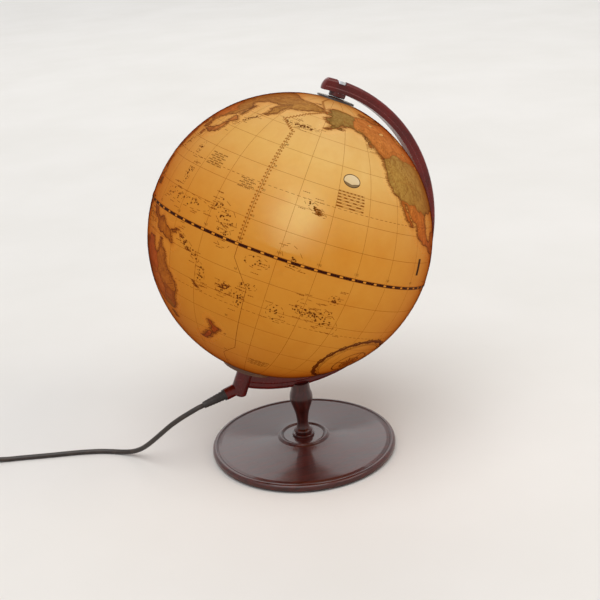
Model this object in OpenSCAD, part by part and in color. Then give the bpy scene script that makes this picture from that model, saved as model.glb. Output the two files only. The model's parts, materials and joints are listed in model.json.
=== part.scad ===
// Illuminated desk globe: a lit ball in a semi-meridian arm on a turned stem and plinth.
// All sizes are millimetres. The origin is the centre of the foot, on the table.
// The arm stands in the XZ plane, and the north pole leans towards +X.

/* [Globe] */
// Diameter of the ball
globe_d = 300; // [240:5:360]
// Lean of the polar axis from the vertical
axis_tilt = 23.5; // [18:0.5:28]
// Wall of the moulded half shells
shell_t = 1.2; // [0.8:0.1:2.5]
// Width of the tape over the equator seam
band_w = 4.2; // [3:0.2:8]
// Width of the ring that joins the two halves inside
ring_w = 16; // [10:1:24]

/* [Arm] */
// Gap between the ball and the inside of the arm
arm_gap = 7.5; // [5:0.5:12]
// Thickness of the arm at the stem
arm_t = 17.5; // [14:0.5:22]
// How much thinner the arm is at its upper end
arm_taper = 5; // [2:0.5:6]
// Width of the arm's wide inner part
arm_w = 13; // [11:0.5:18]
// Width of the arm's raised outer rib
rib_w = 8.6; // [6:0.2:10]
// How far the rib stands over the shoulder
rib_h = 8; // [7:0.5:9]
// Reach of the rounded upper end past the pole
arm_over = 19.5; // [16:0.5:24]

/* [Base] */
// Diameter of the plinth
base_d = 208; // [170:2:260]
// Height of the plinth's rim over the felt
rim_h = 7.5; // [6:0.5:12]
// Height of the plinth's middle over the felt
hub_h = 14; // [12:0.5:20]
// Thickness of the felt under the plinth
felt_t = 1.5; // [1:0.5:3]
// Height of the stem that shows between the plinth and the arm
stem_h = 61.5; // [54:0.5:120]
// Radius of the stem's bulb at its widest
knob_r = 12.9; // [11:0.1:16]
// Radius of the stem's neck at its thinnest
neck_r = 6.4; // [6:0.1:9]

/* [Bearings] */
// Radius of the steel pin at the north pole
pin_r = 3; // [2.5:0.1:4]
// Radius of the bearing plug at the south pole
plug_r = 23; // [23:0.5:28]
// Radial clearance of the turning fits
run_fit = 0.05; // [0.03:0.01:0.1]
// Gap between faces that slide past each other
face_gap = 0.3; // [0.2:0.05:0.5]
// Radius of the hour dial
dial_r = 20; // [16:0.5:26]

/* [Lamp] */
// Radius of the hollow lamp tube
tube_r = 5; // [5:0.1:6.5]
// Wall of the lamp tube
tube_t = 1; // [0.8:0.1:1.4]
// Height of the lamp holder's foot over the south pole
holder_rise = 104; // [90:1:106]
// Length of the lamp holder
holder_l = 50; // [46:1:56]
// Radius of the lamp holder
holder_r = 13.5; // [12:0.5:16]
// Radius of the bulb's glass
bulb_r = 22.4; // [17:0.1:22.5]

/* [Cord] */
// Diameter of the mains lead
cord_d = 5.5; // [5:0.1:6]
// Turns in the coil of spare lead
coil_turns = 6; // [4:2:6]
// Distance between neighbouring turns
coil_pitch = 6.1; // [6.1:0.1:6.4]
// Radius of the coil's innermost turn
coil_in_r = 23.5; // [22:0.5:26]

/* [Switch and plug] */
// Length of the cord switch
switch_l = 62; // [50:1:75]
// Width of the cord switch
switch_w = 26; // [24:0.5:30]
// Height of the cord switch
switch_h = 18; // [17:0.5:22]
// Tilt of the rocker each way
rocker_tilt = 9; // [6:0.5:12]
// Distance between the two plug pins
pin_pitch = 19; // [19:0.1:19.4]
// Radius of a plug pin
plug_pin_r = 2; // [1.9:0.1:2.2]

/* [Hidden] */

$fn = 96;
slit = 0.05;
over = 1;

globe_r = globe_d / 2;
shell_in_r = globe_r - shell_t;
tape_t = 0.45;
glue_t = 0.1;
ring_t = 1.6;

arm_in_r = globe_r + arm_gap;
hub_z = felt_t + hub_h;
globe_h = hub_z + stem_h + arm_t + arm_in_r;
arm_shift = arm_taper / 2;
arm_out_r = arm_in_r + arm_t - arm_shift;
shoulder_r = arm_out_r - rib_h;
shoulder_round = 1.6;
arm_under_z = hub_z + stem_h;
arm_top_out = arm_out_r - arm_shift * cos(axis_tilt);
nose_r = 13.5;
nose_z = arm_in_r + 2;
nose_x = nose_r - arm_over;

pole_hole_r = 7;
spacer_r = 8.8;
cord_r = cord_d / 2;

boss_r = 9;
seat_r = 9;
boss_low = globe_r + 34;
nozzle_dip = 15;
nozzle_drop = nozzle_dip + axis_tilt;
nozzle_z = -(globe_r + 25.5);
nozzle_r = 6.6;
nozzle_l = 18;
gland_neck_r = 4.3;
gland_neck_l = 9;
gland_collar_t = 2.4;
gland_l = 24;
gland_tip_r = 3.7;
lead_bend_r = 12;
lead_r = cord_r - 0.25;
lead_bore_r = lead_r + 1.2;
lead_bend = 90 - nozzle_drop;
lead_tangent = lead_bend_r * tan(lead_bend / 2);

tenon_r = 8;
tenon_l = 6;
bolt_r = 3;
bolt_fit = 0.15;
bolt_head_r = 6;
bolt_head_h = 3.2;
bolt_seat_z = globe_h - arm_in_r - bolt_head_h - 0.6;
nut_h = 4;
nut_r = 5.77;
washer_r = 9;
washer_t = 1.2;
recess_r = 11.5;
recess_top = felt_t + 5.5;

holder_z = -globe_r + holder_rise - 14;
holder_top = holder_z + holder_l;
cap_r = 6.9;
cap_l = 22;
cap_z = holder_top - 24;
socket_r = 8.2;
socket_wall = 0.9;
bulb_z = holder_top + bulb_r + 10.5;
glass_t = 0.8;
neck_glass_r = 7.6;

plug_top = -(globe_r - 7);
plug_low = -(globe_r + 0.3);
flange_r = plug_r + 3.4;
flange_t = 2;
ferrule_hole_r = plug_r + 4;
tube_low = nozzle_z + lead_tangent + 1;

// The lead leaves the nozzle, droops behind the foot and lies on the table
nozzle_dir = [-cos(nozzle_dip), 0, -sin(nozzle_dip)];
nozzle_base = [nozzle_z * sin(axis_tilt), 0, globe_h + nozzle_z * cos(axis_tilt)];
gland_end = nozzle_l + gland_collar_t + gland_l;
lead_start = nozzle_base + gland_end * nozzle_dir;
run_points = [
    [-128, 3, 73], [-139, 9, 65], [-149, 17, 55], [-157, 26, 44], [-164, 36, 33],
    [-170, 47, 22.5], [-176, 58, 13.5], [-183, 69, 7], [-192, 79, 3.8], [-203, 88, 2.8],
    [-215, 95, 2.8], [-229, 101, 2.8], [-243, 106, 2.8], [-258, 110.5, 2.8], [-273, 115, 2.8],
    [-287, 119.5, 2.8], [-301, 124, 2.8], [-315, 128, 2.9], [-327, 131, 4], [-338, 132.6, 6]
];
switch_x = -352;
switch_y = 133;
switch_mid_z = 7;
link_points = [
    [-430, 131, 5.8], [-439, 126, 4.4], [-446.5, 118, 3.7], [-451.5, 108, 3.55],
    [-454.3, 97, 3.55], [-455.3, 87, 3.55]
];
tie_t = 0.7;
tie_w = 8;
coil_lift = tie_t + 0.1;
coil_x = -413.5;
coil_y = 72;
coil_z = coil_lift + cord_r;
coil_out_r = coil_in_r + coil_pitch * coil_turns / 2;
coil_end_l = cord_d;
coil_steps = 24;
tail_points = [
    [-455.3, 59, 9.3], [-455, 48, 8.5], [-454.5, 38, 7.7], [-454, 30, 7.1]
];
plug_x = -454;
plug_y = 24;
plug_z = 6.9;
plug_l = 36;
plug_w = 35;
plug_h = 13.6;
plug_nose_l = 24;
sleeve_l = 10;
sleeve_r = plug_pin_r - 0.25;
core_r = plug_pin_r - 0.7;
pin_l = 19;

rocker_l = 19;
rocker_w = 10.5;
rocker_r = 15;
rocker_z = 10.6;
trunnion_r = 1.5;
switch_split = 9;
screw_r = 1.6;
screw_head_r = 2.9;
screw_x = 22;

function unit(v) = v / norm(v);

function arc(cx, cy, r, from, to, n) =
    [for (i = [0:n]) [cx + r * cos(from + (to - from) * i / n), cy + r * sin(from + (to - from) * i / n)]];

// One span of a curve through b and c, with a and d beside them
function span(a, b, c, d, t) =
    0.5 * (2 * b + (c - a) * t + (2 * a - 5 * b + 4 * c - d) * t * t + (3 * b - a - 3 * c + d) * t * t * t);

function smooth(p, steps) =
    let (last = len(p) - 1)
    concat(
        [for (i = [0:last - 1]) for (s = [0:steps - 1])
            span(p[max(i - 1, 0)], p[i], p[i + 1], p[min(i + 2, last)], s / steps)],
        [p[last]]
    );

// Direction of a path at one of its points, given straight at both ends
function heading(p, i, first, last) =
    i == 0 ? first : i == len(p) - 1 ? last : unit(unit(p[i + 1] - p[i]) + unit(p[i] - p[i - 1]));

function ring_points(at, dir, r, sides, ref) =
    let (side = unit(cross(dir, ref)), up = cross(side, dir))
    [for (k = [0:sides - 1]) at + r * (cos(360 * k / sides) * side + sin(360 * k / sides) * up)];

module sweep(p, r, sides, first, last, ref = [0, 0, 1]) {
    n = len(p);
    points = [for (i = [0:n - 1]) each ring_points(p[i], heading(p, i, first, last), r, sides, ref)];
    near_cap = [for (k = [0:sides - 1]) k];
    far_cap = [for (k = [sides - 1:-1:0]) (n - 1) * sides + k];
    walls = [
        for (i = [0:n - 2]) for (k = [0:sides - 1])
            let (a = i * sides + k, b = i * sides + (k + 1) % sides)
            each [[a, a + sides, b], [b, a + sides, b + sides]]
    ];
    polyhedron(points, concat([near_cap], walls, [far_cap]), convexity = 6);
}

// Stands a piece in the ball's own frame, with +Z along the polar axis
module on_axis() {
    translate([0, 0, globe_h]) rotate([0, axis_tilt, 0]) children();
}

module half_space(up) {
    size = globe_r * 2 + 40;
    translate([-size / 2, -size / 2, up ? 0 : -size]) cube(size);
}

// Foot, plinth and stem

module felt_pad() {
    color("darkgreen") cylinder(r = base_d / 2 - 4, h = felt_t);
}

module plinth_outline() {
    out_r = base_d / 2;
    round_r = 3.4;
    rim_z = felt_t + rim_h;
    polygon(concat(
        [[0, felt_t], [out_r - 2, felt_t], [out_r, felt_t + 1.6]],
        arc(out_r - round_r, rim_z - round_r, round_r, 8, 90, 8),
        arc(out_r - round_r - 2.2, rim_z, 1.3, 0, -140, 5),
        smooth([
            [out_r - 10, rim_z - 0.3], [out_r - 24, rim_z + 0.5], [out_r - 44, rim_z + 2],
            [40, hub_z - 2.6], [29.5, hub_z - 1.1]
        ], 5),
        arc(26, hub_z - 0.7, 2, 150 - 120, 150, 8),
        [[23, hub_z - 0.6], [22.4, hub_z], [0, hub_z]]
    ));
}

module base_plinth() {
    color("saddlebrown") difference() {
        rotate_extrude() plinth_outline();
        translate([0, 0, felt_t - over]) cylinder(r = recess_r, h = recess_top - felt_t + over);
        cylinder(r = bolt_r + bolt_fit, h = hub_z + over);
        translate([0, 0, hub_z - tenon_l]) cylinder(r = tenon_r + run_fit, h = tenon_l + over);
    }
}

module stem_outline() {
    top_z = arm_under_z + 4;
    knob_z = arm_under_z - 15;
    polygon(concat(
        [[0, hub_z - tenon_l + 0.3], [tenon_r, hub_z - tenon_l + 0.3], [tenon_r, hub_z + slit]],
        [[12.4, hub_z + slit], [12.4, hub_z + 1.4]],
        arc(11.2, hub_z + 1.6, 1.2, 0, 90, 5),
        [[9.2, hub_z + 3.4]],
        arc(8.4, hub_z + 6, 2.1, -60, 70, 8),
        smooth([
            [neck_r + 1.1, hub_z + 9], [neck_r + 0.2, hub_z + 13], [neck_r, hub_z + 18],
            [neck_r + 1.5, knob_z - 18], [knob_r - 1.2, knob_z - 6], [knob_r, knob_z],
            [knob_r - 0.4, knob_z + 5], [knob_r - 2.2, knob_z + 11], [knob_r - 2.9, top_z]
        ], 6),
        [[0, top_z]]
    ));
}

module stem() {
    color("saddlebrown") difference() {
        rotate_extrude() stem_outline();
        cylinder(r = bolt_r + bolt_fit, h = arm_under_z + 2 * arm_t);
        on_axis() arm_envelope(slit);
    }
}

module tie_bolt() {
    low_z = recess_top - washer_t - nut_h;
    color("dimgray") difference() {
        union() {
            translate([0, 0, low_z]) cylinder(r = bolt_r, h = bolt_seat_z - low_z + slit);
            translate([0, 0, bolt_seat_z + slit]) cylinder(r = bolt_head_r, h = bolt_head_h);
        }
        translate([0, 0, bolt_seat_z + bolt_head_h - 1.6]) cylinder(r = 2.9, h = 2 + over, $fn = 6);
    }
}

module tie_washer() {
    color("silver") translate([0, 0, recess_top - washer_t - slit]) difference() {
        cylinder(r = washer_r, h = washer_t);
        translate([0, 0, -over]) cylinder(r = bolt_r + 0.2, h = washer_t + 2 * over);
    }
}

module tie_nut() {
    color("silver") translate([0, 0, recess_top - washer_t - nut_h - 2 * slit]) difference() {
        cylinder(r = nut_r, h = nut_h, $fn = 6);
        translate([0, 0, -over]) cylinder(r = bolt_r + slit, h = nut_h + 2 * over);
    }
}

// Semi-meridian arm: a moulded section turned about a centre that lies below the ball's

module arm_section(grow) {
    nose_r = rib_w / 2;
    translate([globe_r - 20, -arm_w / 2 - grow])
        square([shoulder_r - shoulder_round - globe_r + 20, arm_w + 2 * grow]);
    translate([globe_r - 20, -arm_w / 2 + shoulder_round])
        square([shoulder_r - globe_r + 20 + grow, arm_w - 2 * shoulder_round]);
    for (side = [-1, 1])
        translate([shoulder_r - shoulder_round, side * (arm_w / 2 - shoulder_round)])
            circle(r = shoulder_round + grow);
    translate([shoulder_r - 2, -nose_r - grow])
        square([arm_out_r - nose_r - shoulder_r + 2, rib_w + 2 * grow]);
    translate([arm_out_r - nose_r, 0]) circle(r = nose_r + grow);
}

// Turns the section from the south pole to beyond the north pole, thickest over the stem
module arm_sweep(grow) {
    past_pole = asin((arm_over + 2) / arm_in_r);
    translate([arm_shift * sin(axis_tilt), 0, -arm_shift * cos(axis_tilt)])
        rotate([90, 0, 0]) rotate([0, 0, -90])
            rotate_extrude(angle = 180 + past_pole, $fn = 180) arm_section(grow);
}

module arm_envelope(grow) {
    difference() {
        arm_sweep(grow);
        rotate([90, 0, 0]) cylinder(r = arm_in_r - grow, h = 3 * arm_w, center = true);
        arm_end_waste();
    }
}

// What is cut off past the pole, so that the arm ends in a ball nose
module arm_end_waste() {
    size = 4 * nose_r;
    difference() {
        translate([nose_x - size, -size / 2, nose_z - size / 2]) cube(size);
        translate([nose_x, 0, nose_z]) sphere(r = nose_r);
    }
}

module south_boss() {
    top_z = -arm_in_r;
    translate([0, 0, -boss_low]) cylinder(r1 = boss_r - 1.5, r2 = boss_r, h = 1.5);
    translate([0, 0, -boss_low + 1.5]) cylinder(r = boss_r, h = boss_low - 1.5 + top_z);
}

// Carries a piece along the way the lead leaves the boss
module along_nozzle() {
    translate([0, 0, nozzle_z]) rotate([0, -90 - nozzle_drop, 0]) children();
}

module meridian_arm() {
    color([0.35, 0.1, 0.06]) difference() {
        on_axis() {
            arm_envelope(0);
            south_boss();
            along_nozzle() cylinder(r = nozzle_r, h = nozzle_l);
        }
        on_axis() {
            cylinder(r = pin_r + run_fit, h = globe_r * 2);
            translate([0, 0, arm_top_out - 3.6]) cylinder(r = 5.8, h = 10);
            translate([0, 0, tube_low]) cylinder(r = tube_r + run_fit, h = globe_r - 20);
            translate([0, 0, -arm_in_r]) cylinder(r = seat_r, h = 3);
            translate([0, 0, nozzle_z - 4]) cylinder(r = lead_bore_r, h = tube_low - nozzle_z + 4 + slit);
            along_nozzle() cylinder(r = lead_bore_r, h = nozzle_l + over);
            along_nozzle() translate([0, 0, nozzle_l - gland_neck_l - 0.4])
                cylinder(r = gland_neck_r + run_fit, h = gland_neck_l + over + 0.4);
        }
        translate([0, 0, arm_under_z - 2 * over]) cylinder(r = bolt_r + bolt_fit, h = arm_t + 10);
        translate([0, 0, bolt_seat_z]) cylinder(r = bolt_head_r + 0.3, h = 12);
    }
}

// North bearing

module top_pin() {
    head_z = arm_top_out - 3.6 + slit;
    low_z = globe_r - 9;
    color("silver") on_axis() difference() {
        union() {
            translate([0, 0, low_z]) cylinder(r = pin_r, h = head_z - low_z);
            translate([0, 0, low_z - 1]) cylinder(r1 = pin_r - 1, r2 = pin_r, h = 1);
            translate([0, 0, head_z]) cylinder(r = 5.5, h = 2.8);
        }
        translate([-7, -0.6, head_z + 1.4]) cube([14, 1.2, 3]);
    }
}

module top_spacer() {
    low_z = globe_r + 2.4 + face_gap;
    high_z = sqrt(pow(arm_in_r, 2) - pow(spacer_r, 2)) - slit;
    color([0.3, 0.16, 0.08]) on_axis() difference() {
        union() {
            translate([0, 0, low_z]) cylinder(r1 = spacer_r - 0.8, r2 = spacer_r, h = 0.8);
            translate([0, 0, low_z + 0.8]) cylinder(r = spacer_r, h = high_z - low_z - 0.8);
        }
        cylinder(r = pin_r + run_fit, h = globe_r * 2);
    }
}

module hour_dial() {
    color([0.1, 0.08, 0.08]) on_axis() difference() {
        intersection() {
            sphere(r = globe_r + 2.4, $fn = 180);
            translate([0, 0, globe_r - 10]) cylinder(r = dial_r, h = 20);
        }
        sphere(r = globe_r + 0.6, $fn = 180);
        cylinder(r = pin_r + run_fit, h = globe_r * 2);
    }
}

module north_ferrule() {
    flange_in = 11;
    color("ivory") on_axis() difference() {
        union() {
            cylinder(r = pole_hole_r - slit, h = globe_r + 0.2);
            intersection() {
                cylinder(r = flange_in, h = globe_r);
                sphere(r = shell_in_r - glue_t, $fn = 180);
            }
        }
        translate([0, 0, -over]) cylinder(r = globe_r, h = globe_r - 5 + over);
        cylinder(r = pin_r + run_fit, h = globe_r * 2);
    }
}

// Ball

module shell_wall() {
    difference() {
        sphere(r = globe_r, $fn = 180);
        sphere(r = shell_in_r, $fn = 180);
    }
}

module north_hemisphere() {
    color([0.95, 0.75, 0.4]) on_axis() difference() {
        intersection() {
            shell_wall();
            half_space(true);
        }
        cylinder(r = pole_hole_r, h = globe_r * 2);
    }
}

module south_hemisphere() {
    color([0.93, 0.7, 0.36]) on_axis() difference() {
        intersection() {
            shell_wall();
            half_space(false);
        }
        rotate([180, 0, 0]) cylinder(r = ferrule_hole_r, h = globe_r * 2);
    }
}

module joining_ring() {
    color("ivory") on_axis() difference() {
        intersection() {
            sphere(r = shell_in_r - glue_t, $fn = 180);
            cylinder(r = globe_r, h = ring_w, center = true);
        }
        sphere(r = shell_in_r - glue_t - ring_t, $fn = 180);
    }
}

module equator_band() {
    color([0.75, 0.55, 0.15]) on_axis() difference() {
        intersection() {
            sphere(r = globe_r + tape_t, $fn = 180);
            cylinder(r = globe_r + 5, h = band_w, center = true);
        }
        sphere(r = globe_r + glue_t, $fn = 180);
    }
}

module south_ferrule() {
    lip_z = -sqrt(pow(globe_r, 2) - pow(ferrule_hole_r, 2));
    color("ivory") on_axis() difference() {
        union() {
            translate([0, 0, plug_low + face_gap]) cylinder(r = ferrule_hole_r - slit, h = -plug_low - 144);
            intersection() {
                translate([0, 0, lip_z + 1]) cylinder(r = ferrule_hole_r + 3, h = 3.4);
                sphere(r = shell_in_r - glue_t, $fn = 180);
            }
        }
        translate([0, 0, -globe_r - 20]) cylinder(r = plug_r + run_fit, h = 60);
    }
}

// South bearing and lamp

module bearing_plug() {
    vents = 6;
    vent_r = 2.6;
    low = plug_low - flange_t;
    color([0.85, 0.8, 0.7]) on_axis() difference() {
        union() {
            translate([0, 0, low]) cylinder(r = flange_r, h = flange_t);
            translate([0, 0, plug_low - slit]) cylinder(r = plug_r, h = plug_top - plug_low + slit);
        }
        translate([0, 0, plug_low + 2]) difference() {
            cylinder(r = plug_r - 2, h = 20);
            cylinder(r = tube_r + 3, h = 20);
        }
        translate([0, 0, low - over]) cylinder(r = tube_r + run_fit, h = 40);
        for (k = [0:vents - 1])
            rotate([0, 0, 360 * k / vents]) translate([15, 0, low - over]) cylinder(r = vent_r, h = 10);
    }
}

module tube_nut() {
    top = plug_low - flange_t - slit;
    low = -arm_in_r + 1.2;
    color("goldenrod") on_axis() difference() {
        union() {
            translate([0, 0, low]) cylinder(r = 8.6, h = top - low, $fn = 6);
            translate([0, 0, -arm_in_r + slit]) cylinder(r = 7.4, h = 1.2 - slit + 0.01);
        }
        translate([0, 0, -globe_r - 20]) cylinder(r = tube_r + run_fit, h = 40);
    }
}

module lamp_tube() {
    color("goldenrod") on_axis() translate([0, 0, tube_low + slit]) difference() {
        cylinder(r = tube_r, h = holder_z + 8 - tube_low - slit);
        translate([0, 0, -over]) cylinder(r = tube_r - tube_t, h = globe_r);
    }
}

module lamp_holder() {
    wall = holder_r - socket_r - run_fit;
    color("black") on_axis() translate([0, 0, holder_z]) difference() {
        union() {
            cylinder(r = tube_r + 3.5, h = 8);
            translate([0, 0, 4]) cylinder(r1 = tube_r + 3.5, r2 = holder_r - 0.8, h = 7);
            translate([0, 0, 11]) cylinder(r = holder_r - 0.8, h = holder_l - 14);
            translate([0, 0, holder_l - 18]) cylinder(r = holder_r, h = 14);
            translate([0, 0, holder_l - 4]) cylinder(r1 = holder_r, r2 = holder_r - wall / 4, h = 4);
        }
        translate([0, 0, 18]) cylinder(r = socket_r + run_fit, h = holder_l);
        translate([0, 0, -over]) cylinder(r = tube_r + run_fit, h = 8 + over + slit);
        translate([0, 0, -over]) cylinder(r = lead_r + 0.3, h = 13);
    }
}

module socket_shell() {
    threads = 5;
    color("goldenrod") on_axis() translate([0, 0, cap_z + 1]) difference() {
        cylinder(r = socket_r, h = 20);
        translate([0, 0, -over]) cylinder(r = socket_r - socket_wall, h = 22 + over);
        for (k = [0:threads - 1])
            translate([0, 0, 2.5 + 3.4 * k]) rotate_extrude()
                translate([socket_r - socket_wall, 0]) circle(r = 0.5);
    }
}

module centre_contact() {
    seat_z = holder_z + 18;
    color("goldenrod") on_axis() translate([0, 0, seat_z + slit]) {
        cylinder(r = 4, h = 0.8);
        cylinder(r = 1.6, h = cap_z - seat_z - 1.4);
    }
}

module bulb_cap() {
    threads = 5;
    color("silver") on_axis() translate([0, 0, cap_z]) {
        cylinder(r = cap_r - 0.6, h = cap_l);
        translate([0, 0, -1.2]) cylinder(r1 = 2, r2 = 4.6, h = 1.25);
        for (k = [0:threads - 1])
            translate([0, 0, 3 + 3.4 * k]) rotate_extrude()
                translate([cap_r - 0.6, 0]) circle(r = 0.55);
        translate([0, 0, cap_l - 2]) cylinder(r = cap_r + 0.2, h = 2);
    }
}

module bulb_form(inset) {
    low = cap_z + cap_l + slit;
    neck_l = bulb_z - low;
    sphere_r = bulb_r - inset;
    foot_r = neck_glass_r - inset;
    join = 52;
    polygon(concat(
        [[0, low + (inset > 0 ? glass_t : 0)], [foot_r, low + (inset > 0 ? glass_t : 0)]],
        smooth([
            [foot_r, low + glass_t + 1], [foot_r + 0.6, low + neck_l * 0.12 + 1],
            [sphere_r * cos(-join) - 2.2, bulb_z + sphere_r * sin(-join) - 2.6]
        ], 4),
        arc(0, bulb_z, sphere_r, -join, 90, 24)
    ));
}

module bulb_glass() {
    color([0.95, 0.95, 0.9]) on_axis() rotate_extrude() difference() {
        bulb_form(0);
        bulb_form(glass_t);
    }
}

module bulb_filament() {
    low = cap_z + cap_l + glass_t + 2 * slit;
    wire_r = 0.35;
    spread = 6;
    mast = bulb_z - low - 6;
    color("gray") on_axis() translate([0, 0, low]) {
        cylinder(r = 2.6, h = mast * 0.45);
        for (side = [-1, 1]) hull() {
            translate([side * 1.6, 0, mast * 0.44]) sphere(r = wire_r, $fn = 10);
            translate([side * spread, 0, mast]) sphere(r = wire_r, $fn = 10);
        }
        translate([-spread, 0, mast]) rotate([0, 90, 0]) cylinder(r = 0.6, h = 2 * spread);
    }
}

// Lead inside the boss, the lamp tube and the gland
module inner_lead() {
    nozzle_way = [-cos(nozzle_drop), 0, -sin(nozzle_drop)];
    bend_z = nozzle_z + lead_tangent;
    path = concat(
        [[0, 0, holder_z + 10], [0, 0, bend_z + 12]],
        [for (a = [0:-lead_bend / 4:-lead_bend])
            [lead_bend_r * (cos(a) - 1), 0, bend_z + lead_bend_r * sin(a)]],
        [[0, 0, nozzle_z] + gland_end * nozzle_way]
    );
    color([0.2, 0.17, 0.15]) on_axis() sweep(path, lead_r, 12, [0, 0, -1], nozzle_way, [0, 1, 0]);
}

module cord_gland() {
    ribs = 6;
    rib_step = gland_l / (ribs + 1);
    color([0.12, 0.11, 0.11]) on_axis() along_nozzle() translate([0, 0, nozzle_l]) difference() {
        union() {
            translate([0, 0, -gland_neck_l]) cylinder(r = gland_neck_r, h = gland_neck_l + slit);
            translate([0, 0, slit]) cylinder(r = nozzle_r - 0.4, h = gland_collar_t - slit);
            translate([0, 0, gland_collar_t]) cylinder(r1 = nozzle_r - 1.6, r2 = gland_tip_r, h = gland_l);
            for (k = [1:ribs])
                translate([0, 0, gland_collar_t + rib_step * k - 1.1])
                    cylinder(r = nozzle_r - 1.1 - (nozzle_r - 1.2 - gland_tip_r) * k / (ribs + 1), h = 1.4);
        }
        translate([0, 0, -gland_neck_l - over]) cylinder(r = lead_r + run_fit, h = 60);
    }
}

// Mains lead, with its switch, coil and plug

module cord_run() {
    path = concat([lead_start, lead_start + 1.3 * cord_d * nozzle_dir], run_points,
        [[switch_x + 6, switch_y, switch_mid_z], [switch_x, switch_y, switch_mid_z]]);
    color([0.15, 0.12, 0.1]) sweep(path, cord_r, 8, nozzle_dir, [-1, 0, 0]);
}

module switch_outline(inset) {
    body_l = switch_l - 2 * inset;
    body_w = switch_w - 2 * inset;
    corner = 7 - inset;
    for (sx = [-1, 1]) for (sy = [-1, 1])
        translate([sx * (body_l / 2 - corner), sy * (body_w / 2 - corner)]) circle(r = corner);
    square([body_l - 2 * corner, body_w], center = true);
    square([body_l, body_w - 2 * corner], center = true);
}

// Places a piece of the switch, centred on its housing, on the table
module on_switch() {
    translate([switch_x - switch_l / 2, switch_y, 0]) children();
}

module switch_base() {
    floor_t = 2;
    wall_t = 2;
    color([0.9, 0.88, 0.82]) on_switch() difference() {
        union() {
            translate([0, 0, 1.2]) linear_extrude(height = switch_split - 1.2) switch_outline(0);
            linear_extrude(height = 1.2) switch_outline(1.2);
        }
        difference() {
            translate([0, 0, floor_t]) linear_extrude(height = switch_h) switch_outline(wall_t);
            for (side = [-1, 1]) {
                translate([side * screw_x, 0, 0]) cylinder(r = 4.2, h = switch_split - 2.6);
                translate([side * (switch_l / 2 - 5), 0, switch_mid_z / 2])
                    cube([6, switch_w, switch_mid_z], center = true);
            }
        }
        for (side = [-1, 1]) translate([side * screw_x, 0, -over]) {
            cylinder(r = screw_r + 0.15, h = switch_h);
            cylinder(r = screw_head_r + 0.2, h = over + 2.4);
        }
    }
}

module switch_cover() {
    wall_t = 2;
    top_round = 2.4;
    top_z = switch_h - 3.4;
    color([0.93, 0.91, 0.86]) on_switch() difference() {
        union() {
            translate([0, 0, switch_split + slit])
                linear_extrude(height = top_z - top_round - switch_split - slit) switch_outline(0);
            translate([0, 0, top_z - top_round]) linear_extrude(height = top_round * 0.55) switch_outline(0.5);
            translate([0, 0, top_z - top_round * 0.45]) linear_extrude(height = top_round * 0.45)
                switch_outline(1.5);
        }
        translate([0, 0, switch_split - over])
            linear_extrude(height = top_z - wall_t - switch_split + over) switch_outline(wall_t);
        translate([-rocker_l / 2 - 0.4, -rocker_w / 2 - 0.4, 0])
            cube([rocker_l + 0.8, rocker_w + 0.8, switch_h + 5]);
    }
    color([0.93, 0.91, 0.86]) on_switch() rocker_cheeks();
}

// Two cheeks under the window carry the rocker's trunnions
module rocker_cheeks() {
    cheek_t = 1.6;
    cheek_l = 7;
    top_z = switch_h - 3.4 - 2;
    for (side = [-1, 1]) difference() {
        translate([-cheek_l / 2, side * (rocker_w / 2 + 1.4 + cheek_t / 2) - cheek_t / 2, rocker_z - 3.2])
            cube([cheek_l, cheek_t, top_z - rocker_z + 3.2 + slit]);
        translate([0, 0, rocker_z]) rotate([90, 0, 0])
            cylinder(r = trunnion_r + run_fit, h = switch_w, center = true);
    }
}

module switch_screws() {
    head_t = 1.6;
    color("silver") on_switch() for (side = [-1, 1]) translate([side * screw_x, 0, 0]) difference() {
        union() {
            translate([0, 0, 2.4 - head_t - slit]) cylinder(r = screw_head_r, h = head_t);
            translate([0, 0, 2.4 - slit - 0.01]) cylinder(r = screw_r, h = switch_h - 9.4);
        }
        translate([-3.5, -0.45, 0]) cube([7, 0.9, 1.5]);
    }
}

module switch_rocker() {
    color([0.12, 0.11, 0.11]) on_switch() translate([0, 0, rocker_z]) rotate([0, -rocker_tilt, 0]) {
        intersection() {
            translate([-rocker_l / 2 + 0.4, -rocker_w / 2, -4])
                cube([rocker_l - 0.8, rocker_w, 12]);
            difference() {
                translate([0, 0, -2]) rotate([90, 0, 0]) cylinder(r = 9.6, h = 30, center = true);
                translate([0, 0, rocker_r + 4.4]) rotate([90, 0, 0])
                    cylinder(r = rocker_r, h = 40, center = true);
            }
        }
        rotate([90, 0, 0]) cylinder(r = trunnion_r, h = rocker_w + 5.4, center = true);
    }
}

module cord_link() {
    start_x = switch_x - switch_l;
    path = concat([[start_x, switch_y, switch_mid_z], [start_x - 6, switch_y, switch_mid_z]], link_points,
        [[coil_x - coil_out_r, coil_y + coil_end_l, coil_z]]);
    color([0.15, 0.12, 0.1]) sweep(path, cord_r, 8, [-1, 0, 0], [0, -1, 0]);
}

// Middle of the lead at a turn count from 0 to coil_turns, spiralling in, up a layer and out
function coil_point(turn) =
    let (
        away = abs(turn - coil_turns / 2),
        r = coil_in_r + coil_pitch * away,
        climb = min(max(2 * (turn - coil_turns / 2) + 0.5, 0), 1),
        angle = 180 + 360 * turn
    )
    [coil_x + r * cos(angle), coil_y + r * sin(angle), coil_z + coil_pitch * climb];

coil_path = concat(
    [[coil_x - coil_out_r, coil_y + coil_end_l, coil_z]],
    [for (k = [0:coil_steps * coil_turns]) coil_point(k / coil_steps)],
    [[coil_x - coil_out_r, coil_y - coil_end_l, coil_z + coil_pitch]]
);

function least_gap(p, skip) =
    min([for (i = [0:len(p) - 1 - skip]) min([for (j = [i + skip:len(p) - 1]) norm(p[i] - p[j])])]) - cord_d;

echo(least_gap_in_coil = least_gap(coil_path, 12));

module cord_coil() {
    color([0.16, 0.13, 0.11]) sweep(coil_path, cord_r, 6, [0, -1, 0], [0, -1, 0]);
}

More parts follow.
